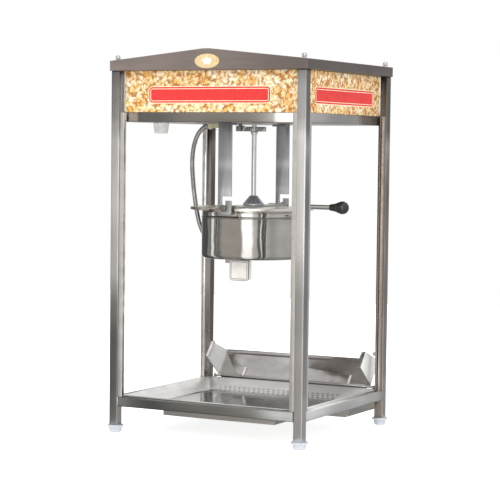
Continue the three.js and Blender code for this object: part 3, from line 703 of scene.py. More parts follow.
# ---- the kettle's supply cable ----
CABLE_RADIUS = 5.0
CABLE_ROUTE = [
    (-117.9, 15, 642.2), (-123.2, 15, 641.9), (-129, 15, 639.4), (-135.6, 15, 634.2),
    (-143.4, 15, 624.7), (-149.9, 15, 610.6), (-154.4, 15, 593), (-156.6, 15, 574),
    (-156.8, 15, 557), (-155.8, 15, 541), (-153.8, 15, 520), (-151.2, 15, 499),
    (-147.9, 15.2, 478), (-144, 15.6, 457), (-139.3, 16.2, 437), (-133.2, 16.7, 421.5),
    (-127.6, 17, 411), (-123.4, 17, 402.7), (-121.13, 17, 398.27),
]


def add_cable():
    """Spiral-wound metal hose: a ring of each winding stands proud of the groove beside it."""
    spacing = 0.5
    winding = 5
    path = evenly(smooth_path(CABLE_ROUTE), spacing)
    depth = 0.55

    def radius_at(i):
        return CABLE_RADIUS - depth * (0.5 - 0.5 * math.cos(2 * math.pi * i / winding)) ** 2

    cable = tube_along("cable_conduit", path, radius_at, sides=20)
    cable.data.materials.append(CONDUIT)
    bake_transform(cable)
    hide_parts("kettle_cable")


add_cable()


# ---- cabinet frame ----
CORNERS = ("front_left", "front_right", "back_left", "back_right")
SIDES = ("front", "back", "left", "right")


def add_posts():
    for corner in CORNERS:
        low, high = box_mm(f"post_{corner}")
        post = square_tube(f"tube_post_{corner}", low, high, "Z", TUBE_CORNER["post"])
        finish_piece(post, POST_STEEL[corner], "cart", [f"post_{corner}"])


def tube_box(kind, side):
    """Box of one rail or beam alone, without the chute's hinge on the back rail."""
    low, high = box_mm(f"{kind}_{side}")
    if (kind, side) == ("rail", "back"):
        low.y, high.y = box_mm("beam_back")[0].y, box_mm("beam_back")[1].y
        high.z = box_mm("rail_front")[1].z
    return low, high


def add_rails():
    steels = {
        ("rail", "X"): RAIL_STEEL,
        ("rail", "Y"): STEEL_Y,
        ("beam", "X"): BEAM_STEEL,
        ("beam", "Y"): BEAM_SIDE,
    }
    for kind in ("rail", "beam"):
        for side in SIDES:
            axis = "X" if side in ("front", "back") else "Y"
            low, high = tube_box(kind, side)
            tube = square_tube(f"tube_{kind}_{side}", low, high, axis, TUBE_CORNER[kind])
            finish_piece(tube, steels[kind, axis], "cart", [f"{kind}_{side}"])


BEAD_LENGTH = 1.1
BEAD_CORNER = 1.6


def square_ring(name, centre, axis, half_u, half_v, toward):
    """Weld bead round the end of a tube where it meets a post."""
    outlines = []
    for grow, shift in ((0.0, 0.0), (0.25, 0.55), (0.6, 0.9), (0.6, BEAD_LENGTH), (0.0, BEAD_LENGTH)):
        u, v = half_u + grow, half_v + grow
        outlines.append([
            tuple(Vector(along_axis(axis, *spot, toward * (shift - BEAD_LENGTH))) + centre)
            for spot in rounded_rectangle(-u, u, -v, v, BEAD_CORNER + grow)])
    points, rings = loops(*outlines)
    return new_object(name, points, swept_rings(rings, closed=True), sharp_deg=60.0)


def add_welds():
    """A low bead at each end of each rail and beam."""
    beads = []
    for kind in ("rail", "beam"):
        for side in SIDES:
            axis = 0 if side in ("front", "back") else 1
            low, high = tube_box(kind, side)
            half = (high - low) / 2
            for end, toward in ((low, -1), (high, 1)):
                spot = (low + high) / 2
                spot[axis] = end[axis] + 0.3 * toward
                beads.append(square_ring("bead", spot, "XY"[axis], half[1 - axis], half.z, toward))
    finish_piece(joined("weld_beads", beads), STEEL_Z, "cart")


FOOT_PROFILE = [
    (0.0, 0.0), (7.6, 0.0), (9.6, 0.5), (11.4, 2.0), (12.6, 4.4), (13.1, 7.4), (12.9, 10.6),
    (13.4, 11.7), (16.2, 12.1), (16.9, 12.7), (17.0, 13.6), (17.0, 15.3), (16.6, 16.2),
    (15.9, 16.7), (8.2, 16.7), (8.2, 33.0), (0.0, 33.0),
]


def add_feet():
    for corner in CORNERS:
        x, y, _ = middle_mm(f"foot_{corner}")
        foot = lathe(f"nylon_foot_{corner}", FOOT_PROFILE, (x, y, 0.0), steps=56)
        finish_piece(foot, NYLON, "cart", [f"foot_{corner}"])


NUT_RADIUS = 5.0
NUT_SKIRT = [(0.0, 0.0), (5.4, 0.0), (5.8, 0.5), (5.8, 3.6), (5.1, 4.4), (0.0, 4.4)]


def add_dome_nuts():
    """Hexagonal skirt with a dome on it, on the roof over each post."""
    turns = [math.radians(d) for d in range(12, 91, 13)]
    dome = [(NUT_RADIUS * math.sin(a), NUT_RADIUS + NUT_RADIUS * math.cos(a)) for a in turns]
    profile = [(0.0, 2 * NUT_RADIUS)] + dome + [(NUT_RADIUS, 4.0), (0.0, 4.0)]
    for corner in CORNERS:
        x, y, _ = middle_mm(f"dome_nut_{corner}")
        centre = (x, y, box_mm(f"dome_nut_{corner}")[0].z)
        nut = lathe(f"dome_{corner}", profile, centre, steps=32)
        skirt = lathe("skirt", NUT_SKIRT, centre, steps=6, sharp_deg=20.0)
        whole = joined(f"cap_nut_{corner}", [nut, skirt])
        finish_piece(whole, POLISHED, "cart", [f"dome_nut_{corner}"])


def add_channels():
    for name in ("front_left", "front_right", "left_front", "left_back", "right_front", "right_back"):
        node = f"channel_{name}"
        # The back right channel takes the shaded copy: painted shade.
        steel = CHANNEL_SHADED if name == "right_back" else CHANNEL_STEEL
        refined(node, f"glazing_{name}", steel, "cart", 0.35)


add_posts()
add_rails()
add_welds()
add_feet()
add_dome_nuts()
add_channels()


# ---- canopy ----
def add_roof():
    refined("roof_cover", "roof_sheet", ROOF_STEEL, "cart", 0.9, 3)


SIGN_FILM = 0.25
TRIM = 4.2
TRIM_PROUD = 0.9


def add_sign(side):
    """Printed panel with a bright edge trim at each end."""
    node = f"sign_{side}"
    refined(node, f"printed_{side}", PRINT, "cart", 0.5)
    low, high = box_mm(node)
    reach = (high.x - low.x if side == "front" else high.y - low.y) / 2
    trims = []
    for end in (-1, 1):
        corners = [on_sign(side, low, high, end * (reach - cut), z, out)
                   for cut, z, out in ((0.0, low.z + 0.2, -0.6), (TRIM, high.z - 0.2, TRIM_PROUD))]
        (x0, y0, z0), (x1, y1, z1) = [[f(pair) for pair in zip(*corners)] for f in (min, max)]
        trims.append(rounded_block("trim", x0, x1, y0, y1, z0, z1, 0.4))
    finish_piece(joined(f"sign_trim_{side}", trims), CHANNEL_STEEL, "cart")


def flat_shapes(name, outlines, depth):
    """Flat outlines as a mesh in their own plane: x right, y up, thickness along z."""
    curve = bpy.data.curves.new(name, "CURVE")
    curve.dimensions = "2D"
    curve.fill_mode = "BOTH"
    curve.extrude = depth / 2
    for outline in outlines:
        spline = curve.splines.new("POLY")
        spline.points.add(len(outline) - 1)
        for point, (x, y) in zip(spline.points, outline):
            point.co = (x, y, 0.0, 1.0)
        spline.use_cyclic_u = True
    holder = placed(name, curve)
    bpy.context.view_layer.update()
    mesh = evaluated_mesh(holder)
    bpy.data.objects.remove(holder)
    clean(mesh, 0.001)
    return mesh


BAND_LENGTH = 280.0
BAND_HEIGHT = 32.0
BAND_RADIUS = 8.0
BAND_BASE = 687.5
BAND_MIDDLES = (("front", -2.0), ("right", 4.0), ("left", 0.0))


def band_outline(middle, inset):
    half = BAND_LENGTH / 2 - inset
    low, high = BAND_BASE + inset, BAND_BASE + BAND_HEIGHT - inset
    return rounded_rectangle(middle - half, middle + half, low, high, BAND_RADIUS - inset, 8)


def on_sign(side, low, high, x, y, out):
    """A point on a sign panel, x to its right, y up and out from its face."""
    if side == "front":
        return (x, low.y - out, y)
    if side == "right":
        return (high.x + out, x, y)
    return (low.x - out, -x, y)


BAND_LAYERS = (
    ("edge", BAND_PALE, (-1.6,)),
    ("face", BAND_RED, (0.0,)),
    ("line", BAND_PALE, (3.2, 4.4)),
)


def add_blank_band(side, middle):
    """Plain red band with a pale edge and a pale line inside it; nothing is written on it."""
    low, high = box_mm(f"sign_{side}")
    for level, (layer, material, insets) in enumerate(BAND_LAYERS):
        outlines = [band_outline(middle, inset) for inset in insets]
        mesh = flat_shapes(f"{layer}_{side}", outlines, SIGN_FILM)
        obj = placed(f"band_{layer}_{side}", mesh)
        lift = SIGN_FILM * (level + 0.6)
        for vertex in mesh.vertices:
            x, y, z = vertex.co
            vertex.co = to_row(on_sign(side, low, high, x, y, lift + z))
        finish_piece(obj, material, "cart")


BADGE_CENTRE = (3.0, 770.5)
BADGE_HALF = (28.0, 14.5)
BADGE_RELIEF = ((1.0, 0.1), (1.0, 0.9), (0.975, 1.2), (0.93, 1.2), (0.915, 0.95), (0.01, 0.95))
PETALS = (
    (90, 4.6, 3.9), (162, 4.8, 3.4), (234, 4.4, 3.7), (306, 4.7, 3.5), (18, 4.6, 3.6), (0, 0, 4.4))


def add_plaque(face):
    """Blank oval plaque on the pediment, no mark on it."""
    centre_x, centre_z = BADGE_CENTRE
    half_x, half_z = BADGE_HALF
    turns = [2 * math.pi * i / 64 for i in range(64)]
    outlines = []
    for grow, out in BADGE_RELIEF:
        reach_x, reach_z = grow * half_x, grow * half_z
        outlines.append([
            (centre_x + reach_x * math.cos(a), face - out, centre_z + reach_z * math.sin(a))
            for a in turns])
    points, rings = loops(*outlines)
    faces = swept_rings(rings) + [tuple(rings[0]), tuple(rings[-1])]
    plaque = new_object("blank_plaque", points, faces)
    finish_piece(plaque, BADGE_ENAMEL, "cart")


def add_plaque_kernel(face):
    """One raised popped kernel on the plaque: lobes set round a middle one."""
    centre_x, centre_z = BADGE_CENTRE
    lobes = []
    for turn, reach, radius in PETALS:
        a = math.radians(turn)
        spot = (centre_x + 1.5 * reach * math.cos(a), face - 0.6, centre_z + reach * math.sin(a))
        dome = [(0.0, -1.1)] + [(radius * r, -0.1 - z) for z, r in arc(0.0, 0.0, 1.0, 15, 90, 5)]
        lobes.append(lathe("lobe", dome + [(0.0, 0.0)], spot, axis="Y", steps=20))
    finish_piece(joined("plaque_kernel", lobes), BADGE_KERNEL, "cart")


def add_badge():
    low, _ = box_mm("roof_cover")
    add_plaque(low.y)
    add_plaque_kernel(low.y)


add_roof()
for sign_side in ("front", "left", "right"):
    add_sign(sign_side)
for band_side, band_middle in BAND_MIDDLES:
    add_blank_band(band_side, band_middle)
add_badge()


# ---- back panel, drive and lamp ----
def screw(name, spot, axis, toward, radius=2.6):
    """Pan-head screw with a cross recess; its head stands toward + or - along an axis."""
    dome = [(0.0, 1.45), (0.5, 1.35), (0.82, 1.0), (1.0, 0.35), (1.0, 0.0), (0.0, 0.0)]
    profile = [(r * radius, toward * z) for r, z in dome]
    head = lathe(name, profile, spot, axis=axis, steps=20)
    cutter = joined("cross", [
        prism("arm", [(-u, -v), (u, -v), (u, v), (-u, v)], axis, toward * 0.8, toward * 2.0)
        for u, v in ((0.62 * radius, 0.16 * radius), (0.16 * radius, 0.62 * radius))])
    cutter.data.transform(Matrix.Translation(to_row(spot) - ORIGIN))
    cut = head.modifiers.new("cross", "BOOLEAN")
    cut.operation = "DIFFERENCE"
    cut.solver = "EXACT"
    cut.use_self = True
    cut.object = cutter
    mesh = evaluated_mesh(head)
    head.modifiers.clear()
    head.data = mesh
    bpy.data.objects.remove(cutter)
    return head


PANEL_SCREW_INSET = 9
PANEL_SCREW_X = (-95, 72)


def add_service_panel():
    """Back panel with a row of screws along its top and its bottom."""
    refined("service_panel", "back_panel", STEEL_X, "cart", 0.4)
    low, high = box_mm("service_panel")
    across = (low.x + PANEL_SCREW_INSET, *PANEL_SCREW_X, high.x - PANEL_SCREW_INSET)
    up = (low.z + PANEL_SCREW_INSET, high.z - PANEL_SCREW_INSET)
    spots = [(x, high.y, z) for x in across for z in up]
    screws = [screw("panel_screw", spot, "Y", 1) for spot in spots]
    finish_piece(joined("panel_screws", screws), ZINC, "cart")


BEZEL_OUTER = (8.8, 14.5, 1.6)
BEZEL_INNER = (7.0, 12.4, 0.8)


def framed(x, z, half_x, half_z, radius):
    return rounded_rectangle(x - half_x, x + half_x, z - half_z, z + half_z, radius)


def add_switches():
    """Three rockers, each on its own body, in bezels that stay on the panel."""
    for kind in ("heat", "motor", "light"):
        node = f"{kind}_switch"
        refined(node, f"rocker_{kind}", BLACK_PLASTIC, node, 0.5, 3, limit_deg=10.0)
        x, _, z = middle_mm(node)
        panel = box_mm("service_panel")[1].y
        outer = framed(x, z, *BEZEL_OUTER)
        inner = framed(x, z, *BEZEL_INNER)
        sections = [(outer, panel), (outer, panel + 1.3), (inner, panel + 1.6), (inner, panel - 3.0)]
        points, rings = loops(*[[(u, w, v) for u, v in outline] for outline, w in sections])
        bezel = new_object(f"bezel_{kind}", points, swept_rings(rings, closed=True))
        finish_piece(bezel, BLACK_PLASTIC, "cart")


BLADE_SPOTS = ((-6.5, -1.5), (6.5, -1.5), (0.0, 2.6))
INLET_SCREW_REACH = 14.2


def add_inlet():
    """Mains inlet: rounded housing with its three blades inside."""
    refined("power_inlet", "inlet_housing", BLACK_PLASTIC, "cart", 0.8, 3)
    x, _, z = middle_mm("power_inlet")
    face = box_mm("power_inlet")[1].y
    blades = []
    for dx, dz in BLADE_SPOTS:
        u, v = x + dx, z + dz
        blades.append(rounded_block(
            "blade", u - 0.9, u + 0.9, face - 17.0, face - 4.0, v - 2.4, v + 2.4, 0.3))
    finish_piece(joined("inlet_blades", blades), BRASS, "cart")
    reach = INLET_SCREW_REACH
    screws = [screw("inlet_screw", (x + dx, face, z), "Y", 1, 1.7) for dx in (-reach, reach)]
    finish_piece(joined("inlet_screws", screws), ZINC, "cart")


def add_drive():
    """Ceiling sheet, the motor and gearbox on it, and under it the gears that turn the agitator."""
    refined("canopy_floor", "ceiling_sheet", STEEL_X, "cart", 0.3)
    refined("drive_gear", "spur_gear", GEAR, "agitator", 0.25)
    refined("drive_pinion", "motor_pinion", GEAR, "pinion", 0.25)
    refined("motor_gearbox", "gearbox_case", CAST, "cart", 1.6, 3)
    refined("agitator_motor", "motor_case", MOTOR, "cart", 1.5, 3)
    x, y, _ = middle_mm("drive_gear")
    under = box_mm("drive_gear")[0].z
    outline = ((5.3, 0.2), (7.6, 0.2), (8.0, 0.6), (8.0, 2.0), (7.6, 2.4), (5.3, 2.4))
    hub = lathe("gear_hub", [(r, under - down) for r, down in outline], (x, y, 0.0), steps=40)
    finish_piece(hub, GEAR, "agitator")


THREAD_TURNS = 5
THREAD_STEPS = 24
THREAD_RADIUS = 9.2
THREAD_RISE = 11.0


def add_lamp_holder():
    """Ceramic cup with a brass thread round its bore and a brass contact at the bore's end."""
    low, high = box_mm("lamp_holder")
    x, y, _ = middle_mm("lamp_holder")
    centre = (x, y, low.z)
    tall = high.z - low.z
    profile = [
        (10.0, 0.6), (10.6, 0.0), (12.4, 0.0), (13.1, 0.5), (13.6, 1.6), (14.4, 4.2), (14.6, 4.6),
        (14.6, 5.4), (14.9, 5.8), (16.6, tall - 2.4), (17.0, tall - 1.8), (17.0, tall), (0.0, tall),
        (0.0, 17.0), (10.0, 17.0)]
    cup = lathe("lamp_cup", profile, centre, steps=56)
    finish_piece(cup, CERAMIC, "cart", ["lamp_holder"])
    button = [(0.0, 13.8), (1.8, 14.0), (2.6, 14.8), (2.6, 16.9), (0.0, 16.9)]
    contact = lathe("lamp_contact", button, centre, steps=24)
    finish_piece(contact, BRASS, "cart")
    steps = THREAD_STEPS * THREAD_TURNS
    around = arc(x, y, THREAD_RADIUS, 0, 360 * THREAD_TURNS, steps)
    spots = [Vector((*at, low.z + 2.0 + THREAD_RISE * i / steps)) for i, at in enumerate(around)]
    thread = tube_along("lamp_thread", spots, lambda i: 0.75, sides=8)
    finish_piece(thread, BRASS, "cart")


add_service_panel()
add_switches()
add_inlet()
add_drive()
add_lamp_holder()


# ---- kettle ----
KETTLE_X, KETTLE_Y, _ = middle_mm("cooking_pan")
GLAND_SPOT = (-121.0, 17.0, 398.0)
GLAND_LEAN = -0.466
GLAND_PROFILE = [
    (5.4, 0.0), (6.4, 0.0), (7.0, -0.6), (7.0, -4.2), (8.0, -4.6), (8.0, -10.4), (7.2, -11.2),
    (0.0, -11.2), (0.0, -1.0), (5.4, -1.0),
]


def add_kettle_shell():
    """Straight-sided pot with a rolled base edge, a bead below the lids and a necked rim."""
    low, high = box_mm("kettle_shell")
    radius = high.x - KETTLE_X
    base, top = low.z, high.z
    bead = top - 12.0
    outside = [(9.0, base), (5.0, base + 0.4), (2.2, base + 1.8), (0.6, base + 4.2),
               (0.0, base + 8.0), (0.0, bead - 2.0)]
    inside = [(1.2, bead + 3.0), (1.2, top - 1.2), (0.9, top - 0.2), (1.6, top), (2.3, top - 0.4),
              (2.3, base + 9.0), (7.0, base + 2.6)]
    foot, neck = ([(radius - r, z) for r, z in part] for part in (outside, inside))
    profile = ([(0.0, base)] + foot + arc(radius - 0.4, bead, 1.5, -70, 70, 7) + neck
               + [(0.0, base + 1.5)])
    shell = lathe(
        "kettle_body", profile, (KETTLE_X, KETTLE_Y, 0.0), steps=144, sharp_deg=50.0)
    finish_piece(shell, KETTLE_STEEL, "kettle", ["kettle_shell"])


def add_gland():
    """Elbow on the kettle's side and the hexagonal gland that the cable enters, leaning with it."""
    elbow = rounded_block("elbow", -126.0, -104.8, 8.0, 26.0, 378.0, 392.0, 2.0)
    finish_piece(elbow, ZINC, "kettle")
    lean = Matrix.Rotation(GLAND_LEAN, 4, "Y")
    mouth = Matrix.Translation(to_row(GLAND_SPOT))
    gland = lathe("cable_gland", GLAND_PROFILE, (0.0, 0.0, 0.0), steps=6, sharp_deg=20.0)
    gland.data.transform(mouth @ lean @ Matrix.Translation(-ORIGIN))
    finish_piece(gland, ZINC, "kettle")


def add_cooking_pan():
    """Round pan with a rounded rim, its base edge rounded outside and inside."""
    low, high = box_mm("cooking_pan")
    radius, base, top = high.x - KETTLE_X, low.z, high.z
    wall = [(7.0, base), (3.0, base + 1.2), (0.8, base + 4.0), (0.0, base + 8.0), (0.0, top - 0.8),
            (0.6, top), (1.4, top), (2.0, top - 0.8), (2.0, base + 10.0), (3.2, base + 6.0),
            (6.5, base + 3.0), (11.0, base + 2.0)]
    profile = [(0.0, base)] + [(radius - r, z) for r, z in wall] + [(0.0, base + 2.0)]
    pan = lathe("corn_pan", profile, (KETTLE_X, KETTLE_Y, 0.0), steps=120, sharp_deg=45.0)
    finish_piece(pan, POLISHED, "kettle", ["cooking_pan"])


COLLAR_LOW = 625.2
COLLAR_HIGH = 631.7


def add_kettle_fittings():
    """Bridge, tilt handle and shaft cover on the kettle; stirring arms and spindle in it."""
    refined("kettle_bridge", "bridge_strap", BRIDGE_STEEL, "kettle", 0.9, 3)
    refined("tilt_handle", "handle_rod", POLISHED, "kettle", 0.6, 3)
    refined("shaft_cone", "shaft_cover", HANGER_STEEL, "kettle", 0.4, limit_deg=20.0)
    refined("agitator_blades", "stirring_arms", POLISHED, "agitator", 0.6)
    low, high = box_mm("agitator_shaft")
    collar = [(5.0, COLLAR_LOW), (6.2, COLLAR_LOW), (6.6, COLLAR_LOW + 0.4),
              (6.6, COLLAR_HIGH - 0.5), (6.2, COLLAR_HIGH), (5.0, COLLAR_HIGH)]
    profile = ([(0.0, low.z), (4.4, low.z), (5.0, low.z + 0.8)] + collar
               + [(5.0, high.z - 0.8), (4.4, high.z), (0.0, high.z)])
    shaft = lathe("spindle", profile, (KETTLE_X, KETTLE_Y, 0.0), steps=40)
    finish_piece(shaft, POLISHED, "agitator", ["agitator_shaft"])


def add_terminal_box():
    """Enamelled box with a grooved cover, hung from a flat steel bracket under the kettle."""
    low, high = box_mm("terminal_box")
    kettle_base = box_mm("kettle_shell")[0].z
    x0, x1, front = low.x + 13.0, high.x, low.y
    top = kettle_base - 4.0
    sections = []
    groove = ((3.4, 0.0), (3.2, 0.8), (2.4, 0.8), (2.2, 0.0))
    sides = ((1.2, 0.0), (0.3, 0.3), (0.0, 1.2), (0.0, 15.0), (1.0, 16.0))
    for inset, back in groove + sides:
        outline = box_outline(x0, x1, low.z, top, inset, 6.0)
        sections.append([(x, front + back, z) for x, z in outline])
    points, rings = loops(*sections)
    faces = [tuple(rings[0])] + swept_rings(rings) + [tuple(rings[-1])]
    cover = new_object("terminal_cover", points, faces)
    finish_piece(cover, BOX_WHITE, "kettle", ["terminal_box"])
    seal = box_outline(x0, x1, low.z, top, -0.8, 6.0)
    gasket = prism("terminal_gasket", seal, "Y", front + 0.7, front + 1.9)
    finish_piece(gasket, BLACK_PLASTIC, "kettle")
    bracket = rounded_block(
        "terminal_bracket", low.x, x1 - 8.0, front + 3.0, high.y, top - 6.0, kettle_base - 0.3, 0.5)
    finish_piece(bracket, ZINC, "kettle")


def box_outline(x0, x1, z0, z1, inset, radius):
    """Outline with two rounded lower corners and small upper ones."""
    x0, x1, z0, z1 = x0 + inset, x1 - inset, z0 + inset, z1 - inset
    big = max(radius - inset, 0.8)
    return (arc(x1 - big, z0 + big, big, -90, 0, 6) + arc(x1 - 1.0, z1 - 1.0, 1.0, 0, 90, 3)
            + arc(x0 + 1.0, z1 - 1.0, 1.0, 90, 180, 3) + arc(x0 + big, z0 + big, big, 180, 270, 6))


def add_knob():
    """Pear-shaped phenolic grip that flares from a narrow neck into a ball."""
    low, high = box_mm("handle_knob")
    ball_radius = (high.z - low.z) / 2
    _, pivot_y, pivot_z = middle_mm("handle_knob")
    ball = high.x - ball_radius
    neck = low.x
    head = arc(0.0, ball, ball_radius, 90, -20, 11)
    head[0] = (0.0, ball + ball_radius)
    stem = [(11.1, 18.4), (9.6, 15.0), (8.5, 11.5), (7.6, 7.5), (7.1, 3.5), (6.9, 0.8), (6.3, 0.0),
            (5.3, 0.0), (5.3, 15.0), (0.0, 15.0)]
    profile = head + [(r, neck + along) for r, along in stem]
    grip = lathe(
        "pear_knob", profile, (0.0, pivot_y, pivot_z), axis="X", steps=56, sharp_deg=40.0)
    finish_piece(grip, PHENOLIC, "kettle", ["handle_knob"])


def add_lids():
    for side in ("left", "right"):
        lid = f"lid_{side}"
        refined(lid, f"half_{lid}", LID_STEEL[side], lid, 0.45, 3)


HINGE_LINE = 23.2
ROLL_PITCH = 26.0
ROLL_LENGTH = 24.8
ROLL_RADIUS = 1.7
LEAF_OFFSET = 1.98
LEAF_REACH = 90.0


def add_lid_hinges():
    """Rolled edge along each lid's straight side, on the hinge line, and the leaf it bears on."""
    for side, sign in (("left", -1), ("right", 1)):
        x = KETTLE_X + sign * HINGE_LINE
        z = box_mm(f"lid_{side}")[1].z - 1.0
        rolls = []
        for k in range(-3, 4):
            middle = ROLL_PITCH * k
            profile = rod(ROLL_RADIUS, middle - ROLL_LENGTH / 2, middle + ROLL_LENGTH / 2)
            rolls.append(lathe("roll", profile, (x, 0.0, z), axis="Y", steps=18))
        finish_piece(joined(f"rolled_edge_{side}", rolls), ZINC, f"lid_{side}")
        leaf_x = x - sign * LEAF_OFFSET
        leaf = rounded_block(
            f"hinge_leaf_{side}", leaf_x - 0.15, leaf_x + 0.15, -LEAF_REACH, LEAF_REACH,
            z - 1.0, z + 3.6, 0.1)
        finish_piece(leaf, ZINC, "kettle")


def add_hangers():
    for end in ("front", "back"):
        plate = f"hanger_plate_{end}"
        refined(f"hanger_{end}", plate, HANGER_STEEL, "cart", 0.5)


BOX_SCREW_X = (-105.0, -79.0)
BOX_SCREW_Y = (2.0, 28.0)


def add_wiring_box():
    """Painted box under the ceiling, with four screws in its lower face."""
    refined("wiring_box", "conduit_box", BEIGE, "cart", 1.2, 3)
    low, _ = box_mm("wiring_box")
    spots = [(x, y, low.z) for x in BOX_SCREW_X for y in BOX_SCREW_Y]
    screws = [screw("box_screw", spot, "Z", -1, 2.0) for spot in spots]
    finish_piece(joined("box_screws", screws), ZINC, "cart")


add_kettle_shell()
add_gland()
add_cooking_pan()
add_kettle_fittings()
add_terminal_box()
add_knob()
add_lids()
add_lid_hinges()
add_hangers()
add_wiring_box()


# ---- floor, drawer and chute ----
SHEET = 1.5
RIM = (203.5, 184.5, 77.8)
CREASE = (178.0, -160.0, 140.0, 70.0)
DISH = (150.0, -130.0, 93.0, 60.0)
HOLE_PITCH = 12.0
HOLE_RADIUS = 2.6
HOLE_ROWS = 3
HINGE_Y = 199.5
HINGE_Z = 80.5
HINGE_REACH = 199.0
LUG_RADIUS = 4.0
RAIL_TOP = 75.6
CHUTE_LEAN_DEG = 38.2
RUNNER_TOP = {"front": 59.0, "back": 75.5}
RUNNER_ENDS = (-184.0, 203.0)


def hole_cell(u, v):
    """Four faces of the square cell round one hole, a quarter turn each."""
    half = HOLE_PITCH / 2
    faces = []
    for quarter in range(4):
        a = math.radians(90 * quarter)
        b = a + math.pi / 2
        au, av, bu, bv = math.cos(a), math.sin(a), math.cos(b), math.sin(b)
        square = [(au, av), (au + bu, av + bv), (bu, bv)]
        rim = arc(u, v, HOLE_RADIUS, 90 * quarter, 90 * quarter + 90, 4)
        faces.append([(u + half * x, v + half * y) for x, y in square] + rim[::-1])
    return faces


def perforated_slope(place, half_low, half_high, tall):
    """Faces of the back slope in its own plane: three staggered rows of round holes."""
    columns = int(2 * half_low / HOLE_PITCH)
    half = HOLE_PITCH / 2
    first = (tall - HOLE_ROWS * HOLE_PITCH) / 2
    last = first + HOLE_ROWS * HOLE_PITCH
    edge = columns * HOLE_PITCH / 2
    faces = []
    for row in range(HOLE_ROWS):
        v = first + row * HOLE_PITCH + half
        inset = half if row % 2 else 0.0
        count = columns - row % 2
        for column in range(count):
            faces += hole_cell(-edge + inset + (column + 0.5) * HOLE_PITCH, v)
        if inset:
            for side in (-1, 1):
                outer, inner = side * edge, side * (edge - half)
                faces.append([(outer, v - half), (inner, v - half), (inner, v), (inner, v + half),
                              (outer, v + half), (outer, v)])
    marks = [-edge + half * i for i in range(2 * columns + 1)]
    faces.append([(-half_low, 0.0), (half_low, 0.0)] + [(u, first) for u in reversed(marks)])
    faces.append([(u, last) for u in marks] + [(edge, tall), (-edge, tall)])
    for side in (-1, 1):
        column = [(side * edge, first + half * i) for i in range(2 * HOLE_ROWS + 1)]
        top = [(side * edge, tall), (side * half_high, tall)]
        faces.append([(side * half_low, 0.0)] + column + top)
    return [[place(u, v) for u, v in face] for face in faces]


def pan_side(s):
    """The pan's slope, its steeper band and its two lips on one side; s is -1 or 1."""
    rx, ry, rz = RIM
    cx, cy0, cy1, cz = CREASE
    dx, dy0, dy1, dz = DISH
    side_lip = [(rx, -ry), (rx + 1, -ry - 1), (rx + 1, -179), (212, -179), (212, 179), (rx + 1, 179),
                (rx + 1, ry + 1), (rx, ry)]
    end_lip = [(rx, ry), (rx + 1, ry + 1), (198, ry + 1), (198, 193), (-198, 193), (-198, ry + 1),
               (-rx - 1, ry + 1), (-rx, ry)]
    return [
        [(s * cx, cy0, cz), (s * cx, cy1, cz), (s * dx, dy1, dz), (s * dx, dy0, dz)],
        [(s * rx, -ry, rz), (s * rx, ry, rz), (s * cx, cy1, cz), (s * cx, cy0, cz)],
        [(s * x, y, rz) for x, y in side_lip],
        [(x, s * y, rz) for x, y in end_lip],
    ]


def add_floor_pan():
    """One dished sheet with a lip over the rails, two bands of slope and a perforated back."""
    rx, ry, rz = RIM
    cx, cy0, cy1, cz = CREASE
    dx, dy0, dy1, dz = DISH
    run, rise = cy1 - dy1, cz - dz
    tall = math.hypot(run, rise)
    edge = int(2 * dx / HOLE_PITCH) * HOLE_PITCH / 2

    def on_slope(u, v):
        return (u, dy1 + run * v / tall, dz + rise * v / tall)

    faces = perforated_slope(on_slope, dx, cx, tall)
    faces.append([(-dx, dy0, dz), (dx, dy0, dz), (dx, dy1, dz), (-dx, dy1, dz)])
    faces.append([(-cx, cy0, cz), (cx, cy0, cz), (dx, dy0, dz), (-dx, dy0, dz)])
    faces.append([(-rx, -ry, rz), (rx, -ry, rz), (cx, cy0, cz), (-cx, cy0, cz)])
    faces.append([
        (rx, ry, rz), (-rx, ry, rz), (-cx, cy1, cz), (-edge, cy1, cz), (edge, cy1, cz), (cx, cy1, cz)])
    faces += pan_side(-1) + pan_side(1)
    points = [p for face in faces for p in face]
    starts = [sum(len(f) for f in faces[:i]) for i in range(len(faces))]
    numbered = [tuple(range(s, s + len(f))) for s, f in zip(starts, faces)]
    sheet = new_object("dished_floor", points, numbered)
    if sheet.data.polygons[0].normal.z < 0:
        sheet.data.flip_normals()
    add_bevel(sheet, 1.6, 3, limit_deg=4.0)
    solid = sheet.modifiers.new("gauge", "SOLIDIFY")
    solid.thickness = SHEET * MM
    solid.offset = -1.0
    solid.use_even_offset = True
    finish_piece(sheet, PAN_STEEL, "cart", ["floor_pan"])


def add_runners():
    """Two folded runners that carry the drawer."""
    low, high = box_mm("kernel_drawer")
    for name, edge, toward in (("front", low.y, 1), ("back", high.y, -1)):
        wall = edge - toward * 1.8
        shelf = edge + toward * 8.0
        inner = wall + toward * SHEET
        top = RUNNER_TOP[name]
        outline = [(wall, low.z - 1.8), (shelf, low.z - 1.8), (shelf, low.z - 0.3),
                   (inner, low.z - 0.3), (inner, top), (wall, top)]
        runner = add_bevel(prism(f"drawer_runner_{name}", outline, "X", *RUNNER_ENDS), 0.4)
        finish_piece(runner, STEEL_X, "cart")


def add_drawer():
    """Sliding drawer for crumbs and the tray of the floor heater."""
    refined("kernel_drawer", "crumb_drawer", STEEL_X, "drawer", 0.5)
    refined("floor_heater_box", "heater_tray", STEEL_X, "cart", 0.6)


def add_chute():
    refined("chute", "drop_chute", CHUTE_STEEL, "chute", 0.5)


def leaned(corners):
    """Outline given square to the chute, turned to its lean at rest."""
    lean = math.radians(CHUTE_LEAN_DEG)
    return [(HINGE_Y + v * math.sin(lean) + u * math.cos(lean),
             HINGE_Z + v * math.cos(lean) - u * math.sin(lean)) for u, v in corners]


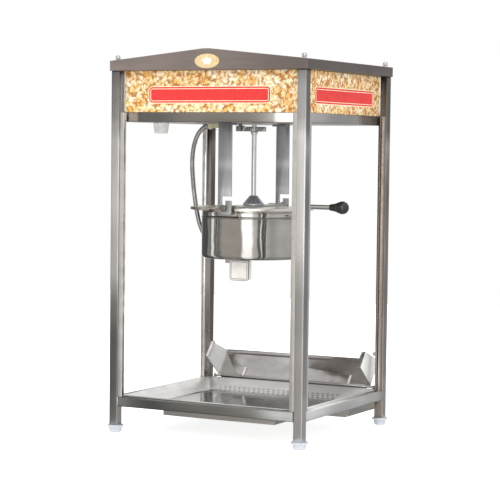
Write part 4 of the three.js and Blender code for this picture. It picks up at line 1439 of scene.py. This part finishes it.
def add_chute_straps():
    """Two strips up the chute's face over the straps of the CAD, painted white as the straps' highlight.
    """
    outline = leaned([(-2.7, 2.2), (-2.7, 24.0), (-3.3, 24.0), (-3.3, 2.2)])
    strip_highlights = [prism("strip", outline, "X", x - 2.6, x + 2.6) for x in (-125.0, 137.0)]
    finish_piece(joined("chute_strip_highlights", strip_highlights), BOX_WHITE, "chute")


def add_cheek_faces():
    """Satin faces of the chute's two cheeks, a little proud of the polished sheet."""
    outline = leaned([(-1.7, 4.0), (-1.7, 66.4), (-72.0, 43.4), (-73.0, 4.2)])
    faces = [prism("cheek", outline, "X", *sorted((side * 188.2, side * 190.2))) for side in (-1, 1)]
    finish_piece(joined("cheek_faces", faces), SATIN, "chute")


def add_chute_hinge():
    """Rod that the chute turns on, held by a rounded lug at each end of the back rail."""
    profile = rod(2.5, -HINGE_REACH, HINGE_REACH)
    hinge = lathe("hinge_rod", profile, (0.0, HINGE_Y, HINGE_Z), axis="X", steps=24)
    finish_piece(hinge, POLISHED, "cart")
    over = arc(HINGE_Y, HINGE_Z, LUG_RADIUS, 180, 0, 10)
    outline = [(HINGE_Y - LUG_RADIUS, RAIL_TOP)] + over + [(HINGE_Y + LUG_RADIUS, RAIL_TOP)]
    lugs = []
    for side in (-1, 1):
        lug = prism("lug", outline, "X", side * (HINGE_REACH - LUG_RADIUS), side * HINGE_REACH)
        lugs.append(add_bevel(lug, 0.3))
    finish_piece(joined("hinge_lugs", lugs), STEEL_X, "cart")


def add_chute_stops():
    """Small lugs on the back posts that the chute's cheeks rest against."""
    lugs = []
    for side in (-1, 1):
        x0, x1 = sorted((side * 199.0, side * 205.0))
        lugs.append(rounded_block("lug", x0, x1, 188.0, 200.0, 150.0, 158.0, 0.8))
    finish_piece(joined("chute_stops", lugs), STEEL_Z, "cart")


add_floor_pan()
add_runners()
add_drawer()
add_chute()
add_chute_straps()
add_cheek_faces()
add_chute_stops()
add_chute_hinge()


# ---- stage and light ----
def add_stage():
    material, tree, shader = new_material("pale_floor", Roughness=0.7, Emission_Strength=0.75)
    shader.inputs["Emission Color"].default_value = (1.0, 1.0, 1.0, 1.0)
    grain = stretched(tree, 30.0, Detail=3.0)
    pale = mixed(tree, grain, (0.93, 0.93, 0.93), (0.97, 0.97, 0.97))
    connect(tree, shader.inputs["Base Color"], pale)
    mesh = bpy.data.meshes.new("floor")
    half = 3.0
    corners = [(-half, -half, 0), (half, -half, 0), (half, half, 0), (-half, half, 0)]
    mesh.from_pydata(corners, [], [(0, 1, 2, 3)])
    floor = placed("floor", mesh)
    floor.data.materials.append(material)
    floor.visible_glossy = False


ROOM_TURN_DEG = 62.0
STUDIO_STRENGTH = 2.4


def studio_colour(tree):
    """Soft boxes between darker walls, under a paler ceiling."""
    place = add_node(tree, "TexCoord").outputs["Generated"]
    turn = (0.0, 0.0, math.radians(ROOM_TURN_DEG))
    turned = add_node(tree, "Mapping", Vector=place, Rotation=turn).outputs["Vector"]
    round_about = add_node(tree, "TexGradient", {"gradient_type": "RADIAL"}, Vector=turned)

    def at(degrees):
        return 0.5 + degrees / 360.0

    warm = (0.26, 0.245, 0.232)
    walls = ramp(
        tree, round_about.outputs["Fac"],
        (at(-180), 0.36), (at(-168), 0.30), (at(-161), 0.05), (at(-124), 0.05), (at(-119), 0.17),
        (at(-110), 0.12), (at(-107), 0.62), (at(-101), 0.62), (at(-98), 0.09), (at(-84), 0.11),
        (at(-74), warm), (at(-27), warm), (at(-22), 1.0), (at(-4), 1.0), (at(1), 0.44), (at(9), 0.36),
        (at(12), 0.10), (at(16), 0.10), (at(20), 0.95), (at(25), 0.95), (at(29), 0.36), (at(41), 0.26),
        (at(62), 0.33), (at(100), 0.28), (at(112), 0.18), (at(140), 0.17), (at(152), 0.34),
        (at(180), 0.36))
    split = add_node(tree, "SeparateXYZ", Vector=place)
    height = ramp(tree, spread(tree, split.outputs["Z"], 0.0, 1.0, -1.0, 1.0),
                  (0.0, 0.40), (0.35, 0.72), (0.45, 1.0), (1.0, 1.0))
    ceiling = ramp(tree, split.outputs["Z"], (0.0, 0.0), (0.35, 0.0), (0.75, 0.8), (1.0, 0.9))
    room = mixed(tree, 1.0, walls, height, "MULTIPLY")
    return mixed(tree, ceiling, room, (0.42, 0.42, 0.42))


def add_world():
    """White room to the eye, and the studio to everything that the steel reflects."""
    world = bpy.data.worlds.new("studio")
    world.use_nodes = True
    bpy.context.scene.world = world
    tree = world.node_tree
    tree.nodes.clear()
    studio = add_node(tree, "Background", Color=studio_colour(tree), Strength=STUDIO_STRENGTH)
    white = add_node(tree, "Background", Color=(1.0, 1.0, 1.0, 1.0), Strength=1.0)
    path = add_node(tree, "LightPath")
    chosen = add_node(tree, "MixShader", Fac=path.outputs["Is Camera Ray"])
    tree.links.new(studio.outputs[0], chosen.inputs[1])
    tree.links.new(white.outputs[0], chosen.inputs[2])
    output = tree.nodes.new("ShaderNodeOutputWorld")
    tree.links.new(chosen.outputs[0], output.inputs["Surface"])


def add_area_light(name, spot, aim, size, power):
    data = bpy.data.lights.new(name, "AREA")
    data.shape = "RECTANGLE"
    data.size, data.size_y = size
    data.energy = power
    light = placed(name, data)
    light.location = spot
    light.rotation_mode = "QUATERNION"
    light.rotation_quaternion = (Vector(aim) - Vector(spot)).to_track_quat("-Z", "Y")
    light.visible_glossy = False


def add_lights():
    """Three soft boxes; places and sizes in metres, power in watts."""
    add_area_light("overhead", (0.2, -0.3, 2.6), (0.0, 0.0, 0.3), (2.4, 2.4), 26.0)
    add_area_light("front_left", (-1.6, -2.4, 1.7), (0.0, 0.0, 0.5), (1.2, 1.4), 18.0)
    add_area_light("front_right", (2.8, -1.2, 1.6), (0.0, 0.0, 0.5), (1.2, 1.4), 18.0)


add_stage()
add_world()
add_lights()
bpy.context.scene.view_settings.view_transform = "Standard"
